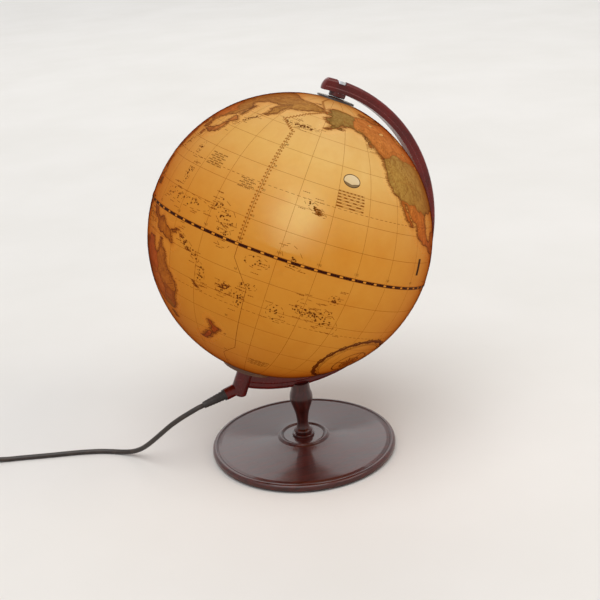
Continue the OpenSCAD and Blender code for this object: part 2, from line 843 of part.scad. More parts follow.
module coil_tie() {
    in_r = coil_in_r - cord_r - 0.3;
    out_r = coil_out_r - coil_pitch / 2 + cord_r + 0.7;
    high = coil_z + coil_pitch + cord_r + 0.3;
    low = tie_t;
    color([0.85, 0.84, 0.8]) translate([coil_x, coil_y + tie_w / 2, 0]) rotate([90, 0, 0])
        linear_extrude(height = tie_w) difference() {
            translate([in_r - tie_t, 0]) square([out_r - in_r + 2 * tie_t, high + tie_t]);
            translate([in_r, low]) square([out_r - in_r, high - low]);
        }
}

module cord_tail() {
    path = concat([[coil_x - coil_out_r, coil_y - coil_end_l, coil_z + coil_pitch]], tail_points,
        [[plug_x, plug_y, plug_z]]);
    color([0.15, 0.12, 0.1]) sweep(path, cord_r, 8, [0, -1, 0], [0, -1, 0]);
}

// Plug: its nose takes the lead at +Y, and its pins point to -Y

module plug_plan() {
    face = plug_w / 2;
    polygon([
        [-face, -plug_l], [face, -plug_l], [face, -plug_l + 8], [face - 3.4, -plug_l + 14],
        [9.5, -12], [8, -6], [8, 0], [-8, 0], [-8, -6], [-9.5, -12],
        [-face + 3.4, -plug_l + 14], [-face, -plug_l + 8]
    ]);
}

module plug_side() {
    half = plug_h / 2;
    polygon([
        [-plug_l, -half], [-plug_l, half], [-plug_l + 9, half], [-14, half - 1.2], [0, half - 2.2],
        [0, -half + 2.2], [-14, -half + 1.2], [-plug_l + 9, -half]
    ]);
}

module plug_body() {
    nose_y = -plug_nose_l;
    color([0.13, 0.12, 0.12]) translate([plug_x, plug_y, plug_z]) difference() {
        union() {
            translate([0, nose_y, 0]) intersection() {
                translate([0, 0, -plug_h]) linear_extrude(height = 2 * plug_h) plug_plan();
                rotate([90, 0, 90]) translate([0, 0, -plug_w])
                    linear_extrude(height = 2 * plug_w) plug_side();
            }
            rotate([90, 0, 0]) cylinder(r1 = cord_r + 0.8, r2 = plug_h / 2 - 2.4, h = plug_nose_l + 1);
            for (side = [-1, 1])
                translate([side * pin_pitch / 2, nose_y - plug_l + slit, 0]) rotate([90, 0, 0])
                    cylinder(r = sleeve_r, h = sleeve_l + slit);
        }
        for (side = [-1, 1])
            translate([side * pin_pitch / 2, nose_y - plug_l + 9, 0]) rotate([90, 0, 0])
                cylinder(r = core_r + slit, h = 40);
    }
}

module plug_pins() {
    color("silver") translate([plug_x, plug_y - plug_nose_l - plug_l, plug_z])
        for (side = [-1, 1]) translate([side * pin_pitch / 2, 0, 0]) rotate([90, 0, 0]) {
            translate([0, 0, -8.8]) cylinder(r = core_r, h = 9 + sleeve_l);
            translate([0, 0, sleeve_l + slit]) cylinder(r = plug_pin_r, h = pin_l - sleeve_l - plug_pin_r);
            intersection() {
                translate([0, 0, pin_l - plug_pin_r]) sphere(r = plug_pin_r);
                translate([0, 0, pin_l - plug_pin_r]) cylinder(r = 2 * plug_pin_r, h = 5);
            }
        }
}

felt_pad();
base_plinth();
stem();
tie_bolt();
tie_washer();
tie_nut();
meridian_arm();
top_pin();
top_spacer();
lamp_tube();
tube_nut();
bearing_plug();
lamp_holder();
socket_shell();
centre_contact();
bulb_cap();
bulb_glass();
bulb_filament();
inner_lead();
cord_gland();
north_hemisphere();
south_hemisphere();
joining_ring();
equator_band();
north_ferrule();
south_ferrule();
hour_dial();
cord_run();
switch_base();
switch_cover();
switch_screws();
switch_rocker();
cord_link();
cord_coil();
coil_tie();
cord_tail();
plug_body();
plug_pins();
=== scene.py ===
"""A lit desk globe: its finishes, printed map, mains lead and studio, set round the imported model.

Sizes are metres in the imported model's frame. Map positions are degrees of longitude and latitude.
"""

import json
import logging
import math
from dataclasses import dataclass, field
from enum import Enum

import bpy
import numpy as np
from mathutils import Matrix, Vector
from mathutils.geometry import delaunay_2d_cdt


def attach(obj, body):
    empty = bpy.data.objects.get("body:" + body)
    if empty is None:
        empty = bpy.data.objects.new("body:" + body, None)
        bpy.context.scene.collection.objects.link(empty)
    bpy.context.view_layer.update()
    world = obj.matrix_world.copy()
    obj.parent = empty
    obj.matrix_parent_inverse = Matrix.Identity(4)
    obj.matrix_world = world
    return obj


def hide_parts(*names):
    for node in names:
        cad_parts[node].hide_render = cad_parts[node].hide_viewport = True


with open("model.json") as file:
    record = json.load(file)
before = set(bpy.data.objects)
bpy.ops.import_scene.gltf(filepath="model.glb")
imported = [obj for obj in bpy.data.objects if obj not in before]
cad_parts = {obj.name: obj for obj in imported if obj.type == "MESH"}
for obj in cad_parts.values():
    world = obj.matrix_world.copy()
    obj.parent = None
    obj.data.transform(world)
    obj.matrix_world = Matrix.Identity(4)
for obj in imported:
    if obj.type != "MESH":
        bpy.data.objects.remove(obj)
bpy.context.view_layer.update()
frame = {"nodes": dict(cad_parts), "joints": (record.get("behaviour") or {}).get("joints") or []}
LOG = logging.getLogger("globe")
MM = 0.001
ORIGIN = (0.0, 0.0, 0.0)

# How far the bulb is above the ball's centre, along the axis
BULB_RISE = 0.0229

# What a longitude and latitude are multiplied by, for a value that looks random but belongs to the place
SCATTER = (12.9898, 78.233)
CROSS_SCATTER = (39.3468, 11.135)

Array = np.ndarray
Socket = bpy.types.NodeSocket
Colour = tuple[float, float, float]


def linear(code: str) -> Colour:
    """Turns a colour as it is seen, such as "d89a40", into linear light.

    Args:
        code: six hexadecimal digits, red first.

    Returns:
        Red, green and blue from 0 to 1.
    """
    shown = [int(code[i:i + 2], 16) / 255 for i in (0, 2, 4)]
    return tuple(c / 12.92 if c <= 0.04045 else ((c + 0.055) / 1.055) ** 2.4 for c in shown)


def unit(vectors: Array) -> Array:
    """Scales each row of an array to length 1."""
    return vectors / np.maximum(np.linalg.norm(vectors, axis=-1, keepdims=True), 1e-12)


class Recipe:
    """One material in the making: a Principled shader and the nodes that feed it."""

    def __init__(self, name: str) -> None:
        """Starts a material with an empty tree, a Principled shader and an output.

        Args:
            name: the material's name.
        """
        self.material = bpy.data.materials.new(name)
        self.material.use_nodes = True
        self.tree = self.material.node_tree
        self.tree.nodes.clear()
        self.shader = self.tree.nodes.new("ShaderNodeBsdfPrincipled")
        self.output = self.tree.nodes.new("ShaderNodeOutputMaterial")
        self.tree.links.new(self.shader.outputs[0], self.output.inputs["Surface"])
        self.coords = self.tree.nodes.new("ShaderNodeTexCoord").outputs["Object"]

    def plug(self, socket: Socket, value: object) -> None:
        """Links a socket to another one, or sets its value.

        Args:
            socket: the socket to feed.
            value: another socket, a colour or a value.
        """
        if isinstance(value, Socket):
            self.tree.links.new(value, socket)
        elif isinstance(value, tuple) and socket.type == "RGBA":
            socket.default_value = (*value[:3], 1.0)
        else:
            socket.default_value = value

    def set(self, **values: object) -> None:
        """Sets or links the shader's sockets, named in lower case with underscores.

        Args:
            values: what each socket takes.
        """
        names = {s.name.lower().replace(" ", "_"): s for s in self.shader.inputs}
        for name, value in values.items():
            self.plug(names[name], value)

    def node(self, kind: str, *values: object, **options: object) -> bpy.types.ShaderNode:
        """Adds a node.

        Args:
            kind: its type, without the ShaderNode that every type's name starts with.
            values: what its first sockets take, in order.
            options: its settings by name.

        Returns:
            The node.
        """
        node = self.tree.nodes.new("ShaderNode" + kind)
        for name, value in options.items():
            setattr(node, name, value)
        for socket, value in zip(node.inputs, values):
            self.plug(socket, value)
        return node

    def stretched(self, scale: tuple[float, float, float]) -> Socket:
        """Gives the object's coordinates, scaled along each axis."""
        return self.node("Mapping", self.coords, ORIGIN, ORIGIN, scale).outputs[0]

    def noise(self, scale: float, detail: float = 3.0, rough: float = 0.55, bend: float = 0.0,
              at: Socket | None = None) -> Socket:
        """Gives a cloudy value from 0 to 1, whose lumps are about 1/scale metres wide.

        Args:
            scale: lumps to a metre.
            detail: how many finer layers it has.
            rough: how strong the finer layers are.
            bend: how far its lumps are pulled about.
            at: the coordinates that it reads, or none for the object's own.

        Returns:
            The value.
        """
        node = self.node("TexNoise", at or self.coords)
        for name, value in (("Scale", scale), ("Detail", detail), ("Roughness", rough), ("Distortion", bend)):
            node.inputs[name].default_value = value
        return node.outputs[0]

    def math(self, how: str, a: object, b: object = 0.0) -> Socket:
        """Gives one sum of two values, such as MULTIPLY."""
        return self.node("Math", a, b, operation=how).outputs[0]

    def vector(self, how: str, a: object, b: object = ORIGIN) -> Socket:
        """Gives one sum of two vectors, such as SUBTRACT or DOT_PRODUCT."""
        node = self.node("VectorMath", a, b, operation=how)
        return node.outputs["Vector" if how == "SUBTRACT" else "Value"]

    def span(self, value: Socket, low: float, high: float, to_low: float = 0.0,
             to_high: float = 1.0) -> Socket:
        """Maps a value's stretch from low to high onto another stretch, and holds it at the ends."""
        return self.node("MapRange", value, low, high, to_low, to_high).outputs[0]

    def mix(self, amount: object, a: object, b: object, how: str = "MIX") -> Socket:
        """Blends colour a towards colour b.

        Args:
            amount: the share of b.
            a: the colour below.
            b: the colour above.
            how: how the two are blended.

        Returns:
            The blended colour.
        """
        node = self.node("Mix", amount, data_type="RGBA", blend_type=how)
        self.plug(node.inputs[6], a)
        self.plug(node.inputs[7], b)
        return node.outputs[2]

    def bump(self, height: Socket, depth: float, strength: float) -> None:
        """Raises the surface by a height value times a depth in metres.

        Args:
            height: the value.
            depth: the depth in metres.
            strength: how strongly it shows.
        """
        node = self.node("Bump", strength, depth)
        self.plug(node.inputs["Height"], height)
        self.set(normal=node.outputs[0])


class Finish:
    """What every finish shares: it makes a material under a name and lets the kind of finish dress it."""

    def dress(self, r: Recipe) -> None:
        """Feeds the shader's sockets.

        Args:
            r: the material in the making.
        """
        raise NotImplementedError

    def make(self, name: str) -> bpy.types.Material:
        """Makes the finish's material.

        Args:
            name: the material's name.

        Returns:
            The material.
        """
        recipe = Recipe(name)
        self.dress(recipe)
        return recipe.material


@dataclass(frozen=True)
class LacqueredWood(Finish):
    """Stained, turned wood under gloss lacquer."""

    dark: str = "290805"
    light: str = "5a190d"
    grain: tuple[float, float, float] = (240.0, 240.0, 18.0)

    def dress(self, r: Recipe) -> None:
        """Streaks the stain along the grain, with pores under a clear coat that is lightly wavy.

        Args:
            r: the material in the making.
        """
        streaks = r.noise(1.0, 5.0, 0.62, 0.7, at=r.stretched(self.grain))
        cloud = r.noise(16.0, 3.0)
        pores = r.span(r.noise(4.0, 3.0, 0.7, at=r.stretched(self.grain)), 0.55, 0.72)
        shade = r.math("MULTIPLY", r.span(streaks, 0.3, 0.7), r.span(cloud, 0.25, 0.75, 0.55, 1.0))
        colour = r.mix(shade, linear(self.dark), linear(self.light))
        r.set(base_color=r.mix(r.math("MULTIPLY", pores, 0.6), colour, linear("160604")),
              roughness=r.span(streaks, 0.3, 0.7, 0.28, 0.4), coat_weight=0.7, coat_roughness=0.1,
              coat_ior=1.4, specular_ior_level=0.25)
        r.bump(r.math("ADD", r.math("MULTIPLY", cloud, 0.6), r.math("MULTIPLY", pores, -0.25)), 0.00025, 0.6)


@dataclass(frozen=True)
class MouldedPlastic(Finish):
    """Moulded plastic with a slightly uneven skin, handling marks and a faint swirl in the colour."""

    colour: str
    swirl: str
    rough: float = 0.2
    coat: float = 0.0
    shine: float = 0.5
    ripple: float = 0.00008

    def dress(self, r: Recipe) -> None:
        """Mixes a swirl into the colour and a ripple into the skin, and dulls it where it is handled.

        Args:
            r: the material in the making.
        """
        flow = r.noise(22.0, 4.0, 0.5, 1.4)
        handled = r.noise(75.0, 4.0, 0.7)
        r.set(base_color=r.mix(r.span(flow, 0.35, 0.7), linear(self.colour), linear(self.swirl)),
              roughness=r.span(handled, 0.35, 0.75, self.rough * 0.8, self.rough * 1.5),
              coat_weight=self.coat, coat_roughness=0.05, specular_ior_level=self.shine)
        r.bump(r.noise(420.0, 2.0), self.ripple, 0.6)


@dataclass(frozen=True)
class Metal(Finish):
    """Drawn, turned or plated metal with fine lines and a little tarnish."""

    colour: str
    tarnish: str
    rough: float = 0.25
    lines: tuple[float, float, float] = (900.0, 900.0, 30.0)

    def dress(self, r: Recipe) -> None:
        """Draws fine lines into the gloss and a cloud of tarnish into the colour.

        Args:
            r: the material in the making.
        """
        lines = r.noise(1.0, 3.0, 0.6, at=r.stretched(self.lines))
        cloud = r.noise(60.0, 4.0, 0.6)
        r.set(base_color=r.mix(r.span(cloud, 0.4, 0.75), linear(self.colour), linear(self.tarnish)),
              metallic=1.0, roughness=r.span(lines, 0.3, 0.7, self.rough * 0.7, self.rough * 1.4))
        r.bump(lines, 0.00004, 0.5)


@dataclass(frozen=True)
class Felt(Finish):
    """Dense wool felt."""

    colour: str = "1c2a1f"
    fuzz: str = "3b4a3c"

    def dress(self, r: Recipe) -> None:
        """Crosses two scales of fibre and adds a soft sheen.

        Args:
            r: the material in the making.
        """
        fibre = r.noise(900.0, 5.0, 0.75, 1.5)
        r.set(base_color=r.mix(r.span(fibre, 0.3, 0.75), linear(self.colour), linear(self.fuzz)),
              roughness=0.95, sheen_weight=0.4, sheen_roughness=0.6)
        r.bump(fibre, 0.0004, 0.8)


@dataclass(frozen=True)
class CordSheath(Finish):
    """Smooth vinyl sheath that has picked up a little dust."""

    colour: str = "241a14"
    dust: str = "43372e"

    def dress(self, r: Recipe) -> None:
        """Clouds the sheath with dust and gives it small dents.

        Args:
            r: the material in the making.
        """
        dust = r.noise(140.0, 5.0, 0.7)
        r.set(base_color=r.mix(r.span(dust, 0.45, 0.8), linear(self.colour), linear(self.dust)),
              roughness=r.span(dust, 0.3, 0.8, 0.36, 0.6), specular_ior_level=0.45)
        r.bump(r.noise(260.0, 3.0), 0.0002, 0.5)


@dataclass(frozen=True)
class LampGlass(Finish):
    """Thin frosted bulb glass, lit by the filament behind it."""

    colour: str = "fff3dc"
    light: float = 9.5

    def dress(self, r: Recipe) -> None:
        """Lets light through and glows by itself.

        Args:
            r: the material in the making.
        """
        frost = r.noise(500.0, 3.0)
        r.set(base_color=linear(self.colour), roughness=r.span(frost, 0.3, 0.7, 0.4, 0.6),
              transmission_weight=0.4, ior=1.45, emission_color=linear("fff6e6"),
              emission_strength=self.light)


@dataclass(frozen=True)
class GlowingWire(Finish):
    """The filament at work."""

    light: float = 40.0

    def dress(self, r: Recipe) -> None:
        """Makes a hot wire with uneven heat along it.

        Args:
            r: the material in the making.
        """
        heat = r.mix(r.noise(300.0), linear("ffb45a"), linear("ffe2b0"))
        r.set(base_color=linear("4a4038"), metallic=0.5, roughness=0.5, emission_color=heat,
              emission_strength=self.light)


@dataclass(frozen=True)
class WallLight:
    """How brightly the lamp inside lights each point of the ball's wall, which is 1 at the equator.

    It is the cosine of the light's slant on the wall over the square of its distance from the bulb.
    """

    centre: Vector
    bulb: Vector
    radius: float
    gores: int = 12
    seam: float = 2.5

    def value(self, r: Recipe) -> Socket:
        """Gives the brightness as a shader value.

        Args:
            r: the material in the making.

        Returns:
            The brightness.
        """
        # Painted light: the lamp's light on the wall is worked out in the shader from where the point lies
        out, ray = (r.vector("SUBTRACT", r.coords, origin) for origin in (self.centre, self.bulb))
        rise = (self.bulb - self.centre).length
        even = self.radius ** 2 / (self.radius ** 2 + rise ** 2) ** 1.5
        cube = r.math("POWER", r.vector("LENGTH", ray), 3.0)
        return r.math("DIVIDE", r.vector("DOT_PRODUCT", out, ray), r.math("MULTIPLY", cube, even))

    def gore(self, r: Recipe) -> Socket:
        """Gives each of the paper gores that the map is glued on in a tone from 0 to 1.

        Args:
            r: the material in the making.

        Returns:
            The tone.
        """
        out = r.vector("SUBTRACT", r.coords, self.centre)
        level = Vector((0.0, 1.0, 0.0))
        ahead = level.cross((self.bulb - self.centre).normalized())
        turn = r.math("ARCTAN2", *(r.vector("DOT_PRODUCT", out, way) for way in (level, ahead)))
        turned = r.math("ADD", turn, math.radians(self.seam))
        tone = r.node("TexWhiteNoise", noise_dimensions="1D")
        r.plug(tone.inputs["W"], r.math("FLOOR", r.math("MULTIPLY", turned, self.gores / (2 * math.pi))))
        return tone.outputs["Value"]


@dataclass(frozen=True)
class Mottle:
    """A cloudy stain that is multiplied into the printed skin."""

    noise: tuple[float, ...]
    low: float
    high: float
    share: float
    colour: Colour

    def lay(self, r: Recipe, under: Socket, strength: float = 1.0) -> tuple[Socket, Socket]:
        """Stains a colour.

        Args:
            r: the material in the making.
            under: the colour to stain.
            strength: how much of the stain's share is laid.

        Returns:
            The stained colour, and the stain's own value from 0 to 1.
        """
        cloud = r.span(r.noise(*self.noise), self.low, self.high)
        return r.mix(r.math("MULTIPLY", cloud, self.share * strength), under, self.colour, "MULTIPLY"), cloud


# The paper's colour as the lamp lights it, painted by how bright the wall is (pale near the bulb, deep orange
# further off), its gores' darker tone, and its stains from large to fine
LAMPLIT_PAPER_STOPS = ((0.0, (0.47, 0.20, 0.026)), (0.25, (0.64, 0.29, 0.040)), (0.47, (0.71, 0.335, 0.056)),
               (0.6, (0.79, 0.45, 0.125)), (0.74, (0.88, 0.62, 0.245)), (1.0, (0.95, 0.74, 0.40)))
WALL_RANGE = (0.72, 1.42)
GORE_TONE = (0.955, 0.90, 0.80)
PAPER_MOTTLES = (Mottle((15.0, 5.0, 0.62, 0.6), 0.36, 0.66, 0.7, (0.94, 0.84, 0.62)),
                 Mottle((42.0, 4.0, 0.6, 0.9), 0.5, 0.7, 0.55, (0.97, 0.90, 0.84)),
                 Mottle((160.0, 4.0, 0.65), 0.3, 0.75, 0.4, (0.92, 0.87, 0.78)))
WASH_MOTTLES = (Mottle((85.0, 6.0, 0.74, 1.3), 0.44, 0.62, 0.75, (0.60, 0.48, 0.34)),
                Mottle((330.0, 3.0, 0.7, 0.8), 0.42, 0.62, 0.6, (0.62, 0.52, 0.38)))
BARE = (1.0, 1.0, 1.0)


@dataclass(frozen=True)
class LitPrint(Finish):
    """The ball's printed skin: aged paper colour times an ink, with the lamp's light from behind painted into
    its colour and glow.
    """

    light: WallLight
    ink: Colour = BARE
    tinted: bool = False
    wash: float = 0.9
    glow: float = 0.81
    skin: float = 0.27
    through: float = 0.0
    gloss: float = 0.06

    def paper(self, r: Recipe) -> tuple[Socket, Socket]:
        """Gives the skin's colour, with the lamp's light painted into it, and the value of its finest specks.

        Args:
            r: the material in the making.

        Returns:
            The colour, and the specks' value.
        """
        ramp = r.node("ValToRGB", r.span(self.light.value(r), *WALL_RANGE))
        stops = ramp.color_ramp.elements
        while len(stops) < len(LAMPLIT_PAPER_STOPS):
            stops.new(0.5)
        for stop, (place, colour) in zip(stops, LAMPLIT_PAPER_STOPS):
            stop.position = place
            stop.color = (*colour, 1.0)
        paper = r.mix(self.light.gore(r), ramp.outputs[0], GORE_TONE, "MULTIPLY")
        for mottle in PAPER_MOTTLES:
            paper, speck = mottle.lay(r, paper)
        if self.tinted:
            tint = r.node("Attribute", attribute_name="tint")
            paper = r.mix(1.0, paper, tint.outputs["Color"], "MULTIPLY")
            for mottle in WASH_MOTTLES if self.wash else ():
                paper, _ = mottle.lay(r, paper, self.wash)
        elif self.ink != BARE:
            paper = r.mix(1.0, paper, self.ink, "MULTIPLY")
        return paper, speck

    def dress(self, r: Recipe) -> None:
        """Paints the lamp's light into the paper's colour and glow by how bright the wall is, mottles it, and
        multiplies the ink in.

        A wall that lets light through also bends a share of it on, so that the bulb shows as a soft glow.

        Args:
            r: the material in the making.
        """
        paper, speck = self.paper(r)
        # Painted light: the lamp-lit paper colour is both the glow and, dimmed, the base colour
        r.set(base_color=r.mix(1.0, paper, (self.skin,) * 3, "MULTIPLY"), emission_color=paper,
              emission_strength=self.glow, specular_ior_level=self.gloss,
              roughness=r.span(speck, 0.0, 1.0, 0.34, 0.46),
              coat_weight=1.0, coat_ior=1.0, coat_roughness=0.3, coat_tint=(0.88, 0.78, 0.68))
        if self.through:
            clear = r.node("BsdfRefraction", (0.72, 1.0, 0.93), r.span(speck, 0.0, 1.0, 0.52, 0.57), 1.4)
            both = r.node("MixShader", self.through, r.shader.outputs[0], clear.outputs[0])
            r.plug(r.output.inputs["Surface"], both.outputs[0])


def add_thing(name: str, data: bpy.types.ID) -> bpy.types.Object:
    """Makes an object of some data and links it to the scene.

    Args:
        name: its name.
        data: its mesh, curve, light or camera.

    Returns:
        The object.
    """
    thing = bpy.data.objects.new(name, data)
    bpy.context.scene.collection.objects.link(thing)
    return thing


def add_piece(name: str, points: Array, faces: Array, finish: bpy.types.Material, body: str, slot: str,
              tint: Array | None = None) -> bpy.types.Object:
    """Makes a mesh object from whole arrays, dresses it and sets it on a body.

    Args:
        name: the piece's name.
        points: its corners, one row of x, y and z each.
        faces: the corners of each face, three or four to a row, seen from outside.
        finish: its material.
        body: the body that it moves with.
        slot: the record's material slot for it; not used.
        tint: a colour for each corner of the mesh, for the attribute of that name.

    Returns:
        The new object.
    """
    mesh = bpy.data.meshes.new(name)
    sides = faces.shape[1]
    mesh.vertices.add(len(points))
    mesh.vertices.foreach_set("co", np.ascontiguousarray(points, dtype=np.float32).ravel())
    mesh.loops.add(faces.size)
    mesh.loops.foreach_set("vertex_index", np.ascontiguousarray(faces, dtype=np.int32).ravel())
    mesh.polygons.add(len(faces))
    mesh.polygons.foreach_set("loop_start", np.arange(0, faces.size, sides, dtype=np.int32))
    mesh.polygons.foreach_set("use_smooth", np.ones(len(faces), dtype=bool))
    if tint is not None:
        layer = mesh.color_attributes.new("tint", "FLOAT_COLOR", "CORNER")
        layer.data.foreach_set("color", np.c_[tint, np.ones(len(tint))].astype(np.float32).ravel())
    mesh.update(calc_edges=True)
    mesh.validate()
    mesh.materials.append(finish)
    piece = add_thing(name, mesh)
    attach(piece, body)
    LOG.info("%s: %d faces on %s", name, len(faces), body)
    return piece


def columns(*parts: Array | float) -> Array:
    """Sets coordinates side by side, a point to a row, where a single number serves every point."""
    return np.stack(np.broadcast_arrays(*parts), -1)


def closed(line: Array) -> Array:
    """Ends a line where it began."""
    return np.vstack([line, line[:1]])


def grid_faces(rows: int, cols: int, around: bool = False) -> Array:
    """Numbers the four-cornered faces of a grid of points, whose columns may close into a ring.

    Args:
        rows: how many rows of points.
        cols: how many points to a row.
        around: whether a row's last point joins its first.

    Returns:
        The faces, four corners each.
    """
    across = cols if around else cols - 1
    i, j = np.meshgrid(np.arange(rows - 1), np.arange(across), indexing="ij")
    k = (j + 1) % cols
    return columns(i * cols + j, i * cols + k, (i + 1) * cols + k, (i + 1) * cols + j).reshape(-1, 4)


def face_up(flat: Array, faces: Array) -> Array:
    """Turns flat triangles over where their corners run clockwise.

    Args:
        flat: x and y of the points.
        faces: the triangles.

    Returns:
        The triangles, all anticlockwise.
    """
    a, b, c = (flat[faces[:, k]] for k in range(3))
    turn = (b - a)[:, 0] * (c - a)[:, 1] - (b - a)[:, 1] * (c - a)[:, 0]
    return np.where((turn < 0)[:, None], faces[:, ::-1], faces)


def oval(angle: Array, wide: float = 1.0, high: float = 1.0) -> Array:
    """Gives the points (wide cos angle, high sin angle) of an ellipse."""
    return columns(np.cos(angle) * wide, np.sin(angle) * high)


def gather(shapes: list[tuple[Array, Array]]) -> tuple[Array, Array]:
    """Joins shapes, each given as points and faces, into one.

    Args:
        shapes: the shapes.

    Returns:
        The points and the faces of all of them.
    """
    starts = np.cumsum([0] + [len(points) for points, _ in shapes])
    return (np.vstack([points for points, _ in shapes]),
            np.vstack([faces + start for (_, faces), start in zip(shapes, starts)]))


def smooth_line(points: Array, steps: int) -> Array:
    """Carries a Catmull-Rom curve through the points, as whole arrays.

    Args:
        points: the points that it passes, in order.
        steps: how many parts each stretch is divided into.

    Returns:
        The curve's points, ends included.
    """
    held = np.vstack([2 * points[:1] - points[1:2], points, 2 * points[-1:] - points[-2:-1]])
    a, b, c, d = (held[i:len(held) - 3 + i, None, :] for i in range(4))
    t = (np.arange(steps) / steps)[None, :, None]
    curve = 0.5 * (2 * b + (c - a) * t + (2 * a - 5 * b + 4 * c - d) * t ** 2
                   + (3 * b - a - 3 * c + d) * t ** 3)
    return np.vstack([curve.reshape(-1, points.shape[1]), points[-1:]])


def line_length(points: Array) -> float:
    """Adds up the straight steps between points."""
    return float(np.linalg.norm(np.diff(points, axis=0), axis=1).sum())


def tube(path: Array, radius: float | Array, sides: int) -> tuple[Array, Array]:
    """Carries a circle along a path that is never upright, and closes both ends with a small dome.

    A ring's points are path + radius (side cos a + top sin a), with side level and square to the path.

    Args:
        path: the centreline.
        radius: one radius, or one for each point of the path.
        sides: points in each ring.

    Returns:
        The points and the faces.
    """
    ahead = unit(np.gradient(path, axis=0))
    side = unit(np.cross(ahead, (0.0, 0.0, 1.0)))
    top = np.cross(side, ahead)
    size = np.broadcast_to(np.asarray(radius, dtype=float), (len(path),)).copy()
    bend = np.radians([90.0, 65.0, 40.0, 20.0])
    caps = [path[:1] - ahead[:1] * (size[0] * np.sin(bend))[:, None],
            path[-1:] + ahead[-1:] * (size[-1] * np.sin(bend[::-1]))[:, None]]
    centre = np.vstack([caps[0], path, caps[1]])
    size = np.r_[size[0] * np.cos(bend), size, size[-1] * np.cos(bend[::-1])] + 1e-9
    side = np.vstack([np.repeat(side[:1], 4, 0), side, np.repeat(side[-1:], 4, 0)])
    top = np.vstack([np.repeat(top[:1], 4, 0), top, np.repeat(top[-1:], 4, 0)])
    a = np.linspace(0, 2 * np.pi, sides, endpoint=False)[None, :, None]
    rings = centre[:, None] + size[:, None, None] * (side[:, None] * np.cos(a) + top[:, None] * np.sin(a))
    return rings.reshape(-1, 3), grid_faces(len(centre), sides, True)


class Lay(Enum):
    """How a stretch of the mains lead lies."""

    LOOSE = "loose"
    COILED = "coiled"


@dataclass
class MainsLead:
    """The mains lead: from the arm's lower end along the floor to the hand switch, its coil and its plug."""

    diameter: float = 0.0055
    exit: tuple[float, float, float] = (-112.87, 0.0, 79.57)
    run: tuple = ((-119.77, 0, 77.72), (-128, 3, 73), (-139, 9, 65), (-149, 17, 55), (-157, 26, 44),
                  (-164, 36, 33), (-170, 47, 22.5), (-176, 58, 13.5), (-183, 69, 7), (-192, 79, 3.8),
                  (-203, 88, 2.8), (-215, 95, 2.8), (-229, 101, 2.8), (-243, 106, 2.8), (-258, 110.5, 2.8),
                  (-273, 115, 2.8), (-287, 119.5, 2.8), (-301, 124, 2.8), (-315, 128, 2.9), (-327, 131, 4),
                  (-338, 132.6, 6), (-346, 133, 7), (-352, 133, 7))
    link: tuple = ((-414, 133, 7), (-420, 133, 7), (-430, 131, 5.8), (-439, 126, 4.4), (-446.5, 118, 3.7),
                   (-451.5, 108, 3.55), (-454.3, 97, 3.55), (-455.3, 87, 3.55))
    tail: tuple = ((-455.3, 59, 9.3), (-455, 48, 8.5), (-454.5, 38, 7.7), (-454, 30, 7.1), (-454, 24, 6.9))
    coil_centre: tuple[float, float] = (-413.5, 72)
    coil_inner: float = 23.5
    coil_pitch: float = 6.1
    coil_turns: int = 6

    def coil(self) -> Array:
        """Winds half the turns inwards on the floor and the rest outwards on top of them.

        A turn t has radius inner + pitch |t - half| and angle 180 + 360 t degrees, and the middle half
        turn climbs by one pitch.

        Returns:
            The coil's points in millimetres.
        """
        half = self.coil_turns / 2
        turn = np.linspace(0, self.coil_turns, self.coil_turns * 24 + 1)
        radius = self.coil_inner + self.coil_pitch * np.abs(turn - half)
        angle = np.pi + 2 * np.pi * turn
        rise = 3.55 + self.coil_pitch * np.clip(2 * (turn - half) + 0.5, 0, 1)
        return columns(self.coil_centre[0] + radius * np.cos(angle),
                       self.coil_centre[1] + radius * np.sin(angle), rise)

    def lay_out(self, name: str, points: Array, steps: int, finish: bpy.types.Material,
                nodes: tuple[str, ...]) -> float:
        """Args:
            name: the piece's name.
            points: the route in millimetres.
            steps: parts between two of its points.
            finish: the sheath's material.
            nodes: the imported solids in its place.

        Returns:
            Its length in metres.
        """
        path = smooth_line(points, steps) * MM
        verts, faces = tube(path, self.diameter / 2, 14)
        piece = add_piece(name, verts, faces, finish, "stand", "cord_sheath")
        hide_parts(*nodes)
        long = line_length(path)
        LOG.info("%s: %.3f m of cord", name, long)
        return long

    def build(self, nodes: dict[str, bpy.types.Object]) -> None:
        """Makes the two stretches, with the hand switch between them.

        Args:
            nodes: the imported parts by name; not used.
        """
        sheath = CordSheath().make("cord_sheath")
        first = self.lay_out("lead_to_switch", np.array((self.exit, *self.run), float), 5, sheath,
                             ("cord_run",))
        wound = np.vstack([np.array(self.link, float), self.coil(), np.array(self.tail, float)])
        second = self.lay_out("lead_to_plug", wound, 3, sheath,
                              ("cord_link", "cord_coil", "cord_tail"))
        LOG.info("mains lead: %.3f m in all", first + second)


def outline(places: str) -> Array:
    """Reads "lon,lat lon,lat ..." into rows of longitude and latitude."""
    return np.array([pair.split(",") for pair in places.split()], dtype=float)


def roughen(ring: Array, rounds: int = 3, size: float = 0.17, joined: bool = True) -> Array:
    """Gives an outline its small bays and capes.

    Each round puts a point in the middle of every step, pushed east and north by a share of the
    step that depends on nothing but where the middle is, so a border that two lands share stays one.

    Args:
        ring: longitude and latitude of its points.
        rounds: how many times the steps are halved.
        size: the largest push as a share of a step.
        joined: whether the last point joins the first.

    Returns:
        The finer outline.
    """
    for _ in range(rounds):
        after = np.roll(ring, -1, axis=0) if joined else ring[1:]
        before = ring if joined else ring[:-1]
        middle = (before + after) / 2
        squeeze = np.maximum(np.cos(np.radians(middle[:, 1])), 0.2)
        long = np.hypot((after - before)[:, 0] * squeeze, (after - before)[:, 1])
        east = np.modf(np.sin(middle @ SCATTER) * 4375.8545)[0] * long * size
        north = np.modf(np.sin(middle @ CROSS_SCATTER) * 2463.4634)[0] * long * size
        middle = middle + columns(east / squeeze, north)
        woven = np.stack([before, middle], 1).reshape(-1, 2)
        ring = woven if joined else np.vstack([woven, ring[-1:]])
    return ring


